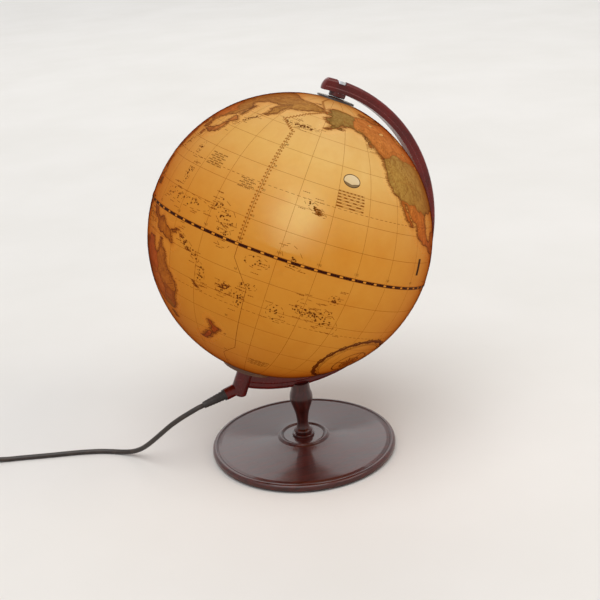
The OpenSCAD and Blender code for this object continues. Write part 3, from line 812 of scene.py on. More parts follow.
def within(points: Array, ring: Array) -> Array:
    """Tells which points lie inside a closed outline, by counting the edges to their right.

    Args:
        points: the points to test.
        ring: the outline.

    Returns:
        True for each point inside.
    """
    x, y = points[:, 0, None], points[:, 1, None]
    x0, y0 = ring[:, 0], ring[:, 1]
    x1, y1 = np.roll(ring, -1, axis=0).T
    level = np.where(y1 == y0, 1e-9, y1 - y0)
    crosses = ((y0 > y) != (y1 > y)) & (x < x0 + (y - y0) * (x1 - x0) / level)
    return crosses.sum(axis=1) % 2 == 1


def densify(line: Array, step: float, ring: bool = False) -> Array:
    """Divides the steps of a line of longitude and latitude so that none is longer than step degrees.

    Args:
        line: the line.
        step: the longest step.
        ring: whether its last point joins its first.

    Returns:
        The finer line, without its first point again at the end of a ring.
    """
    if ring:
        line = closed(line)
    counts = np.maximum(1, np.ceil(np.abs(np.diff(line, axis=0)).max(axis=1) / step)).astype(int)
    at = np.concatenate([np.arange(n) / n + i for i, n in enumerate(counts)])
    i = at.astype(int)
    fine = line[i] + (line[i + 1] - line[i]) * (at - i)[:, None]
    return fine if ring else np.vstack([fine, line[-1:]])


@dataclass(frozen=True)
class BallFrame:
    """Where the ball is, and how a map position falls on it."""

    centre: Vector
    axis: Vector
    radius: float = 0.150
    turned: float = 47.5
    step: float = 1.6

    def axes(self) -> Array:
        """Gives the ball's own three axes as rows: level and square to the axis, level, and the axis.

        Returns:
            The three axes.
        """
        up = np.array(self.axis)
        level = np.array([0.0, 1.0, 0.0])
        return np.stack([np.cross(level, up), level, up])

    def place(self, spots: Array, lift: float | Array) -> Array:
        """Sets longitudes and latitudes at a height over the wall.

        A direction is (cos lat cos turn, cos lat sin turn, sin lat) in the ball's own axes.

        Args:
            spots: longitude and latitude in degrees, one row each.
            lift: height over the wall in metres.

        Returns:
            Points in the frame.
        """
        turn, lat = np.radians(spots[..., 0] + self.turned), np.radians(spots[..., 1])
        way = columns(np.cos(lat) * np.cos(turn), np.cos(lat) * np.sin(turn), np.sin(lat))
        return np.array(self.centre) + (way @ self.axes()) * (self.radius + np.asarray(lift))[..., None]

    def near(self, home: tuple[float, float], offsets: Array | list) -> Array:
        """Turns millimetres east and north of a place into longitude and latitude."""
        east, north = (np.degrees(np.asarray(offsets)[..., k] * MM / self.radius) for k in (0, 1))
        return columns(home[0] + east / np.cos(np.radians(home[1])), home[1] + north)

    def ribbons(self, lines: list[Array], width: float, lift: float) -> tuple[Array, Array]:
        """Carries a flat strip along each line, lying on the ball.

        A strip's two edges are place ± width / 2 times (outwards × ahead).

        Args:
            lines: longitude and latitude along each line.
            width: the strips' width in metres.
            lift: their height over the wall.

        Returns:
            The points and the faces.
        """
        strips = []
        for line in lines:
            mid = self.place(densify(line, self.step), lift)
            out = unit(mid - np.array(self.centre))
            side = unit(np.cross(out, np.gradient(mid, axis=0))) * width / 2
            k = np.arange(len(mid) - 1) * 2
            strips.append((np.stack([mid - side, mid + side], 1).reshape(-1, 3),
                           columns(k, k + 2, k + 3, k + 1)))
        return gather(strips)

    def dots(self, spots: Array, size: float | Array, lift: float, sides: int = 7) -> tuple[Array, Array]:
        """Lays a small flat disc on the ball at each place.

        A disc's rim is place + size (east cos a + north sin a).

        Args:
            spots: longitude and latitude of the discs.
            size: their radius in metres, one or one each.
            lift: their height over the wall.
            sides: corners in each disc.

        Returns:
            The points and the faces.
        """
        mid = self.place(spots, lift)
        out = unit(mid - np.array(self.centre))
        east = unit(np.cross(np.array(self.axis), out))
        north = np.cross(out, east)
        a = np.linspace(0, 2 * np.pi, sides, endpoint=False)[None, :, None]
        span = np.broadcast_to(np.asarray(size, dtype=float), (len(spots),))[:, None, None]
        rim = mid[:, None] + span * (east[:, None] * np.cos(a) + north[:, None] * np.sin(a))
        return rim.reshape(-1, 3), np.arange(len(spots) * sides).reshape(-1, sides)

    def patch(self, shapes: list[Array], lift: float) -> tuple[Array, Array]:
        """Fills small closed outlines, given as longitude and latitude, with triangles about their middle.

        Args:
            shapes: the outlines.
            lift: their height over the wall.

        Returns:
            The points and the faces.
        """
        fans = []
        for ring in shapes:
            ring = densify(ring, self.step, True)
            k = np.arange(len(ring))
            fans.append((self.place(np.vstack([ring, ring.mean(0)[None]]), lift),
                         columns(k, (k + 1) % len(ring), len(ring))))
        return gather(fans)


class Tint(Enum):
    """The washes on the land, each as the share of the paper's light that it lets through."""

    ORANGE = (0.86, 0.54, 0.34)
    OLIVE = (0.48, 0.50, 0.36)
    SAGE = (0.62, 0.64, 0.48)
    OCHRE = (0.76, 0.62, 0.40)
    TAN = (0.64, 0.54, 0.32)
    BROWN = (0.62, 0.42, 0.26)
    ROSE = (0.84, 0.60, 0.48)
    SAND = (0.92, 0.82, 0.62)
    BRICK = (0.78, 0.42, 0.26)


class Ink(Enum):
    """The printed films that are one colour all over."""

    LINE = (0.19, 0.11, 0.06)
    BORDER = (0.33, 0.20, 0.115)
    GRID = (0.50, 0.36, 0.23)
    DARK = (0.05, 0.018, 0.035)
    SEA = BARE
    PALE = (0.95, 1.3, 2.6)
    STEEL = (0.30, 0.36, 0.62)
    SHORE = (0.74, 0.60, 0.40)


@dataclass
class Land:
    """One printed mass of land: its coast, its tint, the countries within it, its waters and its ranges."""

    name: str
    tint: Tint
    coast: Array
    parts: list[tuple[Tint, Array]] = field(default_factory=list)
    lakes: list[Array] = field(default_factory=list)
    rivers: list[Array] = field(default_factory=list)
    ridges: list[Array] = field(default_factory=list)


def read_map(table: str) -> tuple[list[Land], list[tuple[Tint, Array]]]:
    """Reads the map's table.

    Each paragraph has a head and then outlines, parted by semicolons. The head is "land NAME TINT",
    "part TINT" for a country in that land, "lakes", "rivers" or "ridges" of it, or "islands TINT".

    Args:
        table: the paragraphs.

    Returns:
        The lands, and each island's tint and outline.
    """
    lands, islands = [], []
    for paragraph in table.strip().split("\n\n"):
        head, body = paragraph.split("\n", 1)
        kind, *words = head.split()
        outlines = [outline(places) for places in body.split(";")]
        if kind == "land":
            lands.append(Land(words[0], Tint[words[1]], outlines[0]))
        elif kind == "islands":
            islands += [(Tint[words[0]], ring) for ring in outlines]
        elif kind == "part":
            lands[-1].parts.append((Tint[words[0]], outlines[0]))
        else:
            getattr(lands[-1], kind).extend(outlines)
    return lands, islands


MAP_TABLE = """
land north_america ORANGE
-168,66 -162,66.5 -166,68.3 -163,69.5 -157,71.3 -150,70.5 -141,69.7 -136,69 -130,70 -125,70 -121,69.8 -115,68
-109,68 -98,68 -95,69 -94,71.8 -91,69 -87,68 -82,69.5 -82,67 -86,66.2 -87,64.5 -93,62 -95,59 -92,57 -88,56.5
-83,55.3 -82,53 -79.5,51.3 -79,54 -77,56.5 -78,59 -77.5,62.3 -73.5,62.3 -70,61 -69.5,59 -66,58.8 -64.5,60.2
-62,57.5 -58,54.8 -56,52.5 -59,50.3 -65,50.2 -70,47 -65,49 -64.5,47 -61,46 -64,44.6 -66,43.6 -66,45 -70,43.8
-71,42 -70,41.7 -74,40.6 -75.5,38 -76,37 -75.7,35.3 -79,33.4 -81.3,31 -80.3,27 -80.5,25.2 -82,27 -83,29.5
-85.5,29.9 -89,30.2 -90,29.1 -94,29.6 -97.3,27.8 -97.7,24 -97.5,21.5 -96,19 -94.5,18.2 -91,18.7 -90.4,21
-87,21.4 -88,18.5 -88.8,16 -86,15.9 -83.3,15 -83.6,11 -82,9 -79.5,9.5 -77.4,8.6 -77.8,7.4 -80,7.3 -82.8,8.2
-85.5,10 -87.6,13 -91,13.9 -94.5,16.2 -99,16.7 -104,19 -105.6,20.5 -105.5,22.5 -109.3,25.7 -112,28.8
-113,31.3 -114.7,31.7 -114.6,30 -111.3,26 -109.5,23.1 -110.3,23.3 -112,25 -114.5,27 -115.8,30 -117.2,32.6
-118.5,34 -120.6,34.6 -122,36.8 -123.8,39 -124.3,40.5 -124,44 -124,46.3 -124.7,48.4 -122.8,49 -127,51
-130,54.5 -133.5,57.5 -137,58.8 -141,60 -146,60.8 -151,59.3 -151.5,61.2 -154,59 -158,56.7 -163.5,54.8 -161,56
-157.5,58.7 -162,58.8 -162,60 -166,61.7 -161,64.3 -166,64.6

part OLIVE
-141,75 -141,60.2 -135.5,59.5 -130,55.5 -135,53 -175,50 -175,75

part SAGE
-128,48.4 -123,49 -95,49 -89,48 -83,46 -82.5,42.3 -79,43.3 -75,45 -71,45.2 -69,47.3 -67.3,45 -64,40 -75,24
-97,25.9 -101,29.8 -103,29 -106.5,31.8 -111,31.3 -117.1,32.5 -128,31

part ROSE
-92.2,14.6 -91,17 -88.3,18.3 -84,17 -76,9 -78,5 -93,10

lakes
-92,46.8 -88,48.3 -85,47.5 -85,46.6 -88,46.7;
-88,42 -87.5,44.5 -85.5,46 -86,43.5 -87,41.8;
-84.5,45.8 -81,46 -80,44.8 -82,43.2 -83.3,44.5;
-83,41.8 -79,42.9 -80.5,42.3 -82,41.5;
-79.5,43.3 -76.5,44.1 -76.3,43.5;
-99,53.5 -97.5,53.8 -96.7,51 -97.5,50.5;
-117,61.4 -111,62.9 -109.5,62.6 -113,61.1;
-125,66 -120,67 -118,65.7 -121,65

rivers
-95,47.2 -93,45 -91,42.5 -91,40 -90,38.5 -89.3,37 -90,35 -91,33 -91.5,31 -90,29.3;
-111,45.5 -108,47.8 -102,47.5 -100,44.5 -97,42.5 -95.5,40 -92,38.7 -90,38.5;
-106,39.3 -104,38.2 -100,37.8 -97,36.3 -94,35.2 -91.2,33.8;
-106,37.8 -106.7,34.5 -106.5,31.8 -104.5,29.6 -102.8,29.2 -101,29.7 -99.2,26.6 -97.4,25.9;
-109,43 -109.7,40.5 -110,38.2 -112,36.2 -114.6,35 -114.7,32;
-117,50.5 -118.5,49 -119.8,47.6 -119,46 -122,45.7 -124,46.2;
-135,67.5 -129,65.2 -123.5,61.8 -117,61.4;
-134,68.9 -134.5,67.5 -135,67.5;
-135.5,62 -140,64.3 -145,66.4 -151,65.3 -158,64.7 -160,62.5 -163.5,62.8;
-77,43.8 -73.6,45.5 -70,47.2;
-96.5,53 -94.5,55.5 -92.5,57;
-115.5,53 -110,53.7 -105.5,53 -99,53.3

ridges
-150,63 -143,62;
-140,60.7 -134,58.8 -130,56;
-127,59 -122,54 -117.5,51 -114,48.3 -111,45 -108,42.8 -106.2,39.8 -105.7,37 -105.2,35.5;
-121.5,48 -122,44 -121,40.4 -119,37.4 -117.5,35;
-108,29.5 -105.5,25 -103.5,21.5;
-101,25.5 -99.5,22;
-79.5,38.5 -82.5,35.7

land south_america OCHRE
-77.4,8.6 -75,10.8 -71.7,12.3 -71.5,10.8 -68,11 -62,10.6 -57,6 -51.5,4.3 -50,0.5 -48,-1 -44,-2.7 -40,-3
-35.3,-5.5 -35,-9 -39,-13.5 -39.3,-18 -41,-22 -45,-23.5 -48.5,-26 -48.8,-28.5 -52,-33 -54,-34.9 -58.3,-34.2
-57,-37 -62,-39 -65,-41 -63.8,-42.5 -67.5,-46 -65.8,-47.5 -69,-51 -68.4,-52.5 -65.2,-54.7 -69,-55.3 -73.5,-53
-75.5,-50 -74.5,-46 -73.5,-42 -73.5,-37 -71.5,-32 -70.3,-25 -70.3,-18.3 -76,-14 -79,-8.5 -81.2,-5.5 -80.3,-3
-80.9,-1 -79,1.8 -77.2,4 -77.6,7

part SAGE
-51.7,4 -56,2 -60,5 -67,1.2 -70,-4.3 -73.5,-7.5 -70.5,-11 -65,-11 -60,-14 -58,-20 -54.5,-25.5 -57.6,-30.2
-53.4,-33.7 -44,-34 -32,-12 -32,-2 -46,4

part ORANGE
-68.5,-22 -66,-22 -62.6,-22.2 -58,-26.5 -54.5,-25.5 -57.6,-30.2 -58,-34 -55,-38 -62,-57 -68.4,-55 -68.5,-52.3
-72,-50 -71.7,-40 -70,-33

part ROSE
-81.5,-3.4 -78.5,-3.2 -75.2,0 -70,-4.3 -73.5,-7.5 -70.5,-11 -69.5,-17.5 -70.5,-18.5 -80,-18 -84,-6

part SAND
-73,12.5 -72,9 -67.5,6.2 -67,1.2 -60,5 -60,8.5 -60,12

rivers
-75,-4.7 -70,-4 -65,-3 -60,-3.2 -55,-2 -51,-0.8;
-63,-9 -61,-5.5 -58.8,-3.4;
-48,-15 -49,-8 -48.5,-3;
-57.6,-16 -57.6,-22 -58.6,-27 -60.5,-32 -58.6,-34;
-65,3 -67.3,6 -63,8 -61,8.7;
-45,-20 -43.5,-13 -40,-9 -36.5,-10.3

ridges
-76,5 -78.5,0 -78.5,-5 -76.5,-10 -72.5,-14.5 -68.5,-17;
-68,-20 -68.8,-26 -70,-32 -70.8,-38;
-71.7,-42 -73,-48

land africa SAND
-5.5,35.8 -1,35.7 5,36.7 10.5,37.3 11,34 15.5,32.3 20,31 20.5,32.7 25,31.7 32.3,31.2 32.6,30 35.5,24 37.3,20
39.5,15.5 43.2,11.7 51,11.8 48,5 43,0.5 40,-3 39,-7 40.7,-12 40.5,-15.5 35,-20 35.5,-24 32.7,-26.5 31,-30
26,-34 20,-34.8 18.3,-33 15,-26.5 12,-18 13.7,-11 12,-6 9,-1 9.7,3.5 6,4.4 1.5,6 -4,5.2 -8,4.4 -13,8.5
-16.7,12.5 -17.4,14.7 -16.2,19 -16.8,21.5 -14.8,25.5 -10,29.5 -9.7,32 -6.5,34.3

part ORANGE
-9,38 -8.7,27.3 -4.8,25 4,19 12,23.5 9.5,30.3 8,38

part OLIVE
24.9,34 25,22 31.5,22 37,22 38,30 33,33

part ROSE
12,23.5 15,23 24,19.5 24,15 22,11 15,7.5 13.5,13.7 4,19

part OCHRE
24,15 24,19.5 25,22 37,22 39,18 36,14 34,10 24,8.7

part SAGE
12,-5 16,-1 18,3.5 27,5 31,2 29.5,-3 30.5,-8 28.5,-12.5 24,-11 18,-8 13,-6

part BRICK
33.9,9 36,14.5 43,12 52,13 50,5 42,-2 41,4 35.5,4.5

part OCHRE
11,-17 20,-17.8 25,-17.6 27,-22 31.5,-22.3 32,-26.7 33,-32 20,-38 12,-28

part ORANGE
33.9,-1 41,-4.5 42,-11 34.8,-11.5 30.5,-8 29.5,-3

lakes
31.8,0.3 34,0.2 33.6,-2.4 31.9,-2.3;
29.2,-3.5 29.8,-3.6 31,-8.5 30.4,-8.5;
34,-9.6 34.6,-9.8 35,-14 34.3,-13;
13.4,13.2 14.6,13.7 14.6,12.7

rivers
32,1 31.5,4 31,9.5 32.5,15.5 31,19 32.5,22.5 32.7,26 31,30.2;
37.3,12 35,11.5 32.6,15.5;
25,-11 26,-2 24.5,0.7 18,0.5 15.4,-4.3 12.5,-6;
-9,9.5 -4,14.3 0,16.8 4,12.5 6.6,7.8 6.2,4.8;
22,-14.5 26.5,-17.9 32,-16 36,-18.6;
27,-29.5 20,-28.5 16.8,-28.6

ridges
-7.5,31 -2,33.7 6,35.5;
38,13 39,8;
29.5,-29.5 27,-32

land eurasia OCHRE
-5.5,36 -9,37 -9.3,39 -8.8,43.2 -2,43.4 -1.2,46 -4.6,48.4 -1.5,48.7 -1.8,49.6 2,51 4.5,52.3 8,53.8 8.3,57
10.5,57.6 10.3,55 12,54.2 18.5,54.8 21,55.5 21.5,57.5 24,57.3 23.5,59.2 29.5,59.9 23,60 21.5,61.5 25,65
22,65.7 17.5,62.3 18,59.5 16.5,56.5 14.3,55.5 12.5,56.5 11,59 7,58 5,61 10.5,64 14,68 19,70 25.5,71 31,70.3
33,69.4 41,67.3 40,66.2 33,66.6 37,64 40,64.6 44,66 44,68.5 54,68.5 60,68.8 68,68.3 67,71 72,73 73,68.5 75,72
81,73.3 87,75 104,77.7 113,74 127,73.3 131,71 140,72.7 152,71 160,69.7 170,69.7 176,69.8 181,69 190,66.2
186,64.3 178,62.5 170,60 163.5,59.5 162,56 160,53 156.8,51 155.7,55.5 157,58 164,62.3 160,61.8 155,59.3
149,59.5 143,59.3 135.3,54.8 141,53 140.5,50 138,46.5 132.5,43.2 130,42 127.6,39.5 129.3,37 129,35.2
126.4,34.5 126.6,37.5 125,39.7 121.5,39 121,40.8 118,39 119,37.4 122.5,37 119.2,35 121.8,31.8 121.5,28.5
119.5,25.5 116.5,23 113,22 110,20.7 108,21.5 105.7,19 108,16 109.3,12 106.7,10 104.8,9 104.5,10.5 102,12
100.8,13.4 99.3,10 100.5,7 103.3,4 104,1.4 101,2.8 100.3,6 98.3,8.5 98.6,12 97.5,16.5 94.3,16.3 94,19
91.5,22.5 87,21.5 82.3,16.7 80.2,15 80,11 77.5,8 75,12 73,17 72.7,21 70.3,21 69,22.5 67,24.8 61.5,25.2
57,26.8 51.5,27.8 49,30.2 48,29.8 51.5,25 52,24 56,26 59.8,22.5 57.5,18.8 52,15.5 45,12.8 43.2,13 42.7,16.5
39,21.5 35,28 34.9,29.5 34.3,28 32.6,30 32.3,31.2 34.5,31.8 36,35 36,36.7 32,36.2 28,36.7 26.5,39.5 29,41
33,42 38,41 41.5,41.6 38,44.3 38.5,47 35,46 33.5,44.6 31,46.5 28.5,43.5 28,41.6 26,40.8 23.5,40.3 24,38
22.8,36.5 21.2,37.5 19.5,41 15.5,43.8 13.8,45.3 12.3,44.8 13.7,43.5 16,41.7 18.4,40 17,38.8 15.8,38 15.5,40
12.5,41.5 10.3,43.8 8.7,44.3 6,43.1 3.2,43 3,41.8 0.3,40 -0.5,38 -2,36.8

part TAN
28,59.5 27.5,57.5 31,52.5 40,50 38.3,47.2 47,46 50,51.5 61,51 61.5,54 72,54.3 80,51 87.5,49.2 98,50.2
106,50.3 116,49.8 120,53.2 126,52 130.6,48.5 135,48.4 131,45 130.7,42.4 160,40 175,55 195,63 193,72 110,80
60,72 30,72.5 28.5,69 30,64

part ORANGE
74,39.5 80,42 80,45 87.5,49.2 91,45 97,42.7 105,41.6 112,43.7 120,47 116,49.8 120,53.2 126,52 130.6,48.5
135,48.4 131,45 130.7,42.4 124.5,40 120,37 124,30 118,20 108,21.5 101.5,21.5 98,24 97,28.3 88,28 79,31.5
74,37

part SAGE
87.5,49.2 91,45 97,42.7 105,41.6 112,43.7 120,47 116,49.8 106,50.3 98,50.2

part SAND
50,51.5 61,51 61.5,54 72,54.3 80,51 87.5,49.2 80,45 80,42 68,41 56,41 52,45 47,46

part ROSE
74,37 79,31.5 88,28 97,28.3 92,24 92,20 80,5 70,10 66,23 70,27.5 74,32

part BROWN
92,20 92,24 97,28.3 98,24 101.5,21.5 100,20 98,15 98.5,5 94,10

part OLIVE
101.5,21.5 108,21.5 112,15 108,5 104.7,8 102,12 103,14.5 106,15

part BRICK
36,29 39,32 45,29 48.5,28.4 52,24 57,24 62,20 45,10 38,20

part SAGE
45,39.5 49,38 54,37.3 61,36 61.5,30 62,24 56,26 48,29.8 45.5,34

part ORANGE
26,42 30,37 26,35 36,36 42,37 45,39.5 41.5,41.6 35,43 29,42

part ROSE
-10,44 -2,43.4 3,42.3 3,35 -12,35

part ORANGE
-2,43.4 3,42.3 7.5,43.7 7.5,47.5 8,49 2.5,51.3 -8,50

part SAND
7.5,47.5 8,49 6,51 7,54 11,55 14.3,54 15,51 17,48.5 13,47

part BRICK
11,59 12,61.5 14.5,66 20.5,69 28.5,69 31,72 14,72 2,60

lakes
47,46 51,47 53,45 50.5,44 54,41 54,37 50,37.5 49,40.5 47.5,43;
58.5,46 61.5,46.5 60.5,44 58.5,43.8;
104,51.7 106.5,52.8 109.7,55.8 109,54 106,51.8;
74,45.2 79,46.7 78,46 74.5,45;
30.5,60.8 33,61.5 32,60;
35,62 36.5,62 35.8,61

rivers
33,57 40,57.7 45,56 49,55 49.5,53 46,49.5 48,46;
40,52 43,49.3 39.5,47.2;
58,58 62,57 68,58.3 69,61 66,64 66.5,66.5;
83,52.5 82,55.5 77,59 69,61;
94,52 92,56 90,60 87.5,64 86,68 82.5,71;
108,54 115,59.5 124,61 128,63.5 124,67 126.5,72;
117,52.5 121.5,53.3 127.5,50.2 131,47.8 135,48.5 137,50.5 140.5,52.8;
98,34.5 102,36 106,40 110.5,40 110.5,35 114,35 118.5,37.7;
97,31 100.5,26.5 105,28.8 110,30.5 114,30 117.5,31 121,31.8;
99,24 101,20 104.5,17.7 105.8,12 106,10;
79,30 82,26.3 87,25 90,23;
83,29.5 90,29.3 95,29.2 92,26.3 90,24;
75,32.5 72,30 68.5,27 67.5,24.2;
39,39 41,35.5 44.5,33 47.7,30.5;
10,48.3 16.5,48.2 19,46.5 21,44.8 27.5,44.1;
8.5,47.5 7.8,49.5 5.5,51.8;
152,64 158.5,67 161,69.3;
138,64 147,64.5 150,68 151,71

ridges
60,68 59,64 58.5,58 58,53;
7,44.5 9,46.6 13,47;
20,48.9 25,47 26,45.7;
40,43.5 46,42;
70,37.5 75,36 80,32 86,28.3 93,28.3;
75,40.5 81,42.5 88,43.5;
78,35.5 87,36.5 95,36;
86,50 92,50.5 99,52;
114,54 122,57 131,56;
131,61 137,66 140,69;
140,62 150,62 158,63.5 168,66;
160,61 159,56 157,53;
15,67 12,63 8,60.5;
49,35 53,31;
102,30 101,26

land australia BROWN
142.5,-10.7 143.7,-14.2 145.4,-15 146.3,-18.8 149.5,-22 153,-25.2 153.5,-28.5 151.3,-33.5 150,-37.2 146.5,-39
144.5,-38.2 140.5,-38 138,-35.5 135.5,-34.8 131.5,-31.5 126,-32.3 123,-33.9 118,-35 115,-34.3 115.7,-31.5
113.5,-26 114,-22 118,-20.3 122,-18 126.5,-14 129.5,-15 131,-12.2 135.5,-12 135.7,-15 139.5,-17.6 141,-16
141.7,-12.5

part BRICK
129,-10 129,-26 138,-26 138,-10

part OCHRE
138,-10 138,-26 141,-26 141,-29 156,-28.5 154,-10

part ROSE
129,-26 141,-26 141,-42 129,-36

part SAGE
141,-34 147,-36 150,-37.5 148,-42 141,-42

lakes
136.8,-28.5 137.8,-28 137.6,-29.3 137,-29.2

rivers
147,-36 143.5,-34.8 140,-34 139,-35.3;
149,-29 145,-30.8 142,-34;
152,-26.5 147,-28.6

ridges
145,-17.5 147,-21 150.5,-26 151.5,-30 149,-35;
131,-23.5 135,-23.6

land antarctica SAND
-180,-78 -160,-77.5 -150,-77 -135,-74.5 -110,-74.5 -100,-72 -80,-73 -66,-66 -58,-63.3 -62,-72 -60,-75 -45,-78
-30,-76.5 -15,-72.5 0,-70 20,-70 40,-69 55,-66 70,-68.5 80,-67.5 95,-66.5 115,-66.5 135,-66 150,-68.5 165,-71
165,-78 180,-78 180,-79.8 120,-79.8 60,-79.8 0,-79.8 -60,-79.8 -120,-79.8 -180,-79.8

islands SAND
-73,78.2 -66,80.8 -45,81.6 -22,81.4 -18,79 -20,75 -22,71 -33,68 -40,65 -43,60 -48,61 -53,66 -51,69.5 -55,72
-59,75.7 -68,76

islands ORANGE
-80,73.5 -73,71.5 -68,69 -62,66.5 -65,62.5 -72,64 -73,67.5 -78,70 -88,71 -89,73;
-117,72.8 -105,72.5 -102,69 -113,68.6 -117,70;
-125,72 -121,74.3 -116,73 -123,71;
-90,77 -86,80.5 -70,81.6 -62,81.4 -75,79 -80,76.3;
-96,76.5 -80,75.5 -82,74.6 -95,74.8;
-59,47.7 -56,51.5 -53,47

islands BRICK
-84.8,22 -81,23.1 -75,20.6 -77.5,19.9 -79,21.5

islands OLIVE
-74.3,18.5 -73,19.9 -68.5,18.5 -71,17.8

islands ROSE
-24,65.5 -18,66.2 -13.7,65 -18.5,63.4 -22.5,64;
-5.5,50.1 -5,52 -4.5,53.3 -3,54.5 -5,55 -5.5,57.5 -3,58.6 -2,57.5 0,54 1.6,52.6 1.2,51.2

islands SAGE
-10,52 -9.5,54.2 -7.5,55.2 -6,53.5 -6.4,52.2

islands BRICK
12,79.5 20,80.2 24,79 17,76.8

islands OLIVE
52,71 56,73.5 68,76.8 61,76 56,74 55,71

islands ROSE
49.3,-12 50.4,-15.5 47,-25 44,-25 43.5,-21 44.5,-16.5 47.5,-15

islands ORANGE
80,9.5 81.8,7.5 80.5,6 79.8,7.5

islands BRICK
95.3,5.6 98,4.3 103.5,0 106,-3 105.8,-5.8 102,-4 98.7,1.7;
109,1.5 113.5,3.5 117,7 119,5.2 117.7,1 116,-3.8 112,-3.3 110,-1.5;
105.2,-6.8 108.5,-6.6 112.5,-6.8 114.5,-8.3 110,-8.2;
119.8,0.5 123,1 125,1.4 123.5,0.3 120.5,0.2 121,-1 123.3,-1 121.8,-2.2 122.5,-4.5 121,-3 120.4,-5.6
119.5,-3.5

islands OLIVE
120.3,16 120.8,18.5 122.2,18.4 121.6,15.8 124,13 120.7,13.9;
122,7 123.5,8.6 126,9.2 126,6.5 124,6.3

islands OCHRE
131,-0.8 134,-0.9 135,-3.3 141,-2.6 147.8,-6 150.8,-10.4 147,-9.6 143.5,-8.5 141,-9.1 138.3,-8.2 137.7,-5.3
133,-4 132,-2.2

islands SAGE
144.8,-40.8 148.2,-40.9 148,-43 146.5,-43.6

islands BRICK
172.8,-34.5 175.5,-36.8 178.4,-37.7 177,-39.3 175.3,-41.6 173.8,-39.3 174.6,-37.5;
172.7,-40.6 174.2,-41.4 172.8,-43.8 170.7,-45.9 168.5,-46.6 166.5,-45.8 170.3,-43.2

islands ROSE
131,34.2 133,35.5 136,35.8 137.3,37.4 139,38 140,40.5 141.4,41.3 142,39.5 140.8,36 139,34.8 136.8,34.5
135.5,33.6 133.5,34.4;
140,41.6 141.7,45.4 145.3,43.5 143.2,42;
129.8,33.3 131.8,33.3 131,31.2 130.2,32

islands OLIVE
142.5,54 143.3,50 142.6,46.3 142,48 142,52

islands ORANGE
120.2,23 121.5,25.2 120.9,22;
109,19 110.5,20 109.5,18.3;
164,-20.1 166.9,-22.3 166.3,-22.3

islands ROSE
177.3,-17.8 178.6,-17.7 178.2,-18.3 177.4,-18.2;
178.6,-16.9 179.9,-16.2 179.2,-16.9

islands SAGE
-156,20.2 -155,19.6 -155.7,18.9 -156.1,19.6;
-156.7,21 -156,20.8 -156.4,20.5

islands OCHRE
148.4,-5.7 151,-5 152.2,-4.2 151.5,-5.6 149.6,-6.3;
154.6,-5.4 156,-6.6 155.2,-6.4

islands ROSE
159.6,-9.3 160.9,-9.7 160,-9.9

islands OLIVE
-154.7,57.4 -152.3,58.4 -152.4,57.4 -154,56.8

islands ORANGE
-128.3,50.8 -125.3,50.2 -123.4,48.4 -125.5,48.7;
-133,54.1 -131.7,54.1 -131.2,52.2

islands OLIVE
180,71.3 182.5,71.1 180.5,70.8

islands ROSE
-61,-51.8 -58,-51.4 -59,-52.3
"""


# How wide each set of lines is printed, in metres
LINE_WIDTHS = {
    "coast_lines": 0.0007, "shore_hatching": 0.00044, "border_lines": 0.0005, "river_lines": 0.0004,
    "mountain_strokes": 0.00046, "lake_lines": 0.0004, "grid_lines": 0.00034, "tropic_dashes": 0.00042,
    "date_line": 0.0005, "island_group_dashes": 0.00042, "rose_rings": 0.00055, "scroll_heavy_line": 0.0036,
    "scroll_fine_lines": 0.0005, "scroll_curls": 0.0016, "oval_rim": 0.00075, "scale_bar_cells": 0.0009,
    "scale_bar_frames": 0.0003, "wave_strokes": 0.0005, "sounding_dashes": 0.0007, "meridian_ladder": 0.0005,
    "reading_bar": 0.0048, "equator_cells": 0.0017, "equator_border_lines": 0.00062, "dial_rings": 0.00032,
}


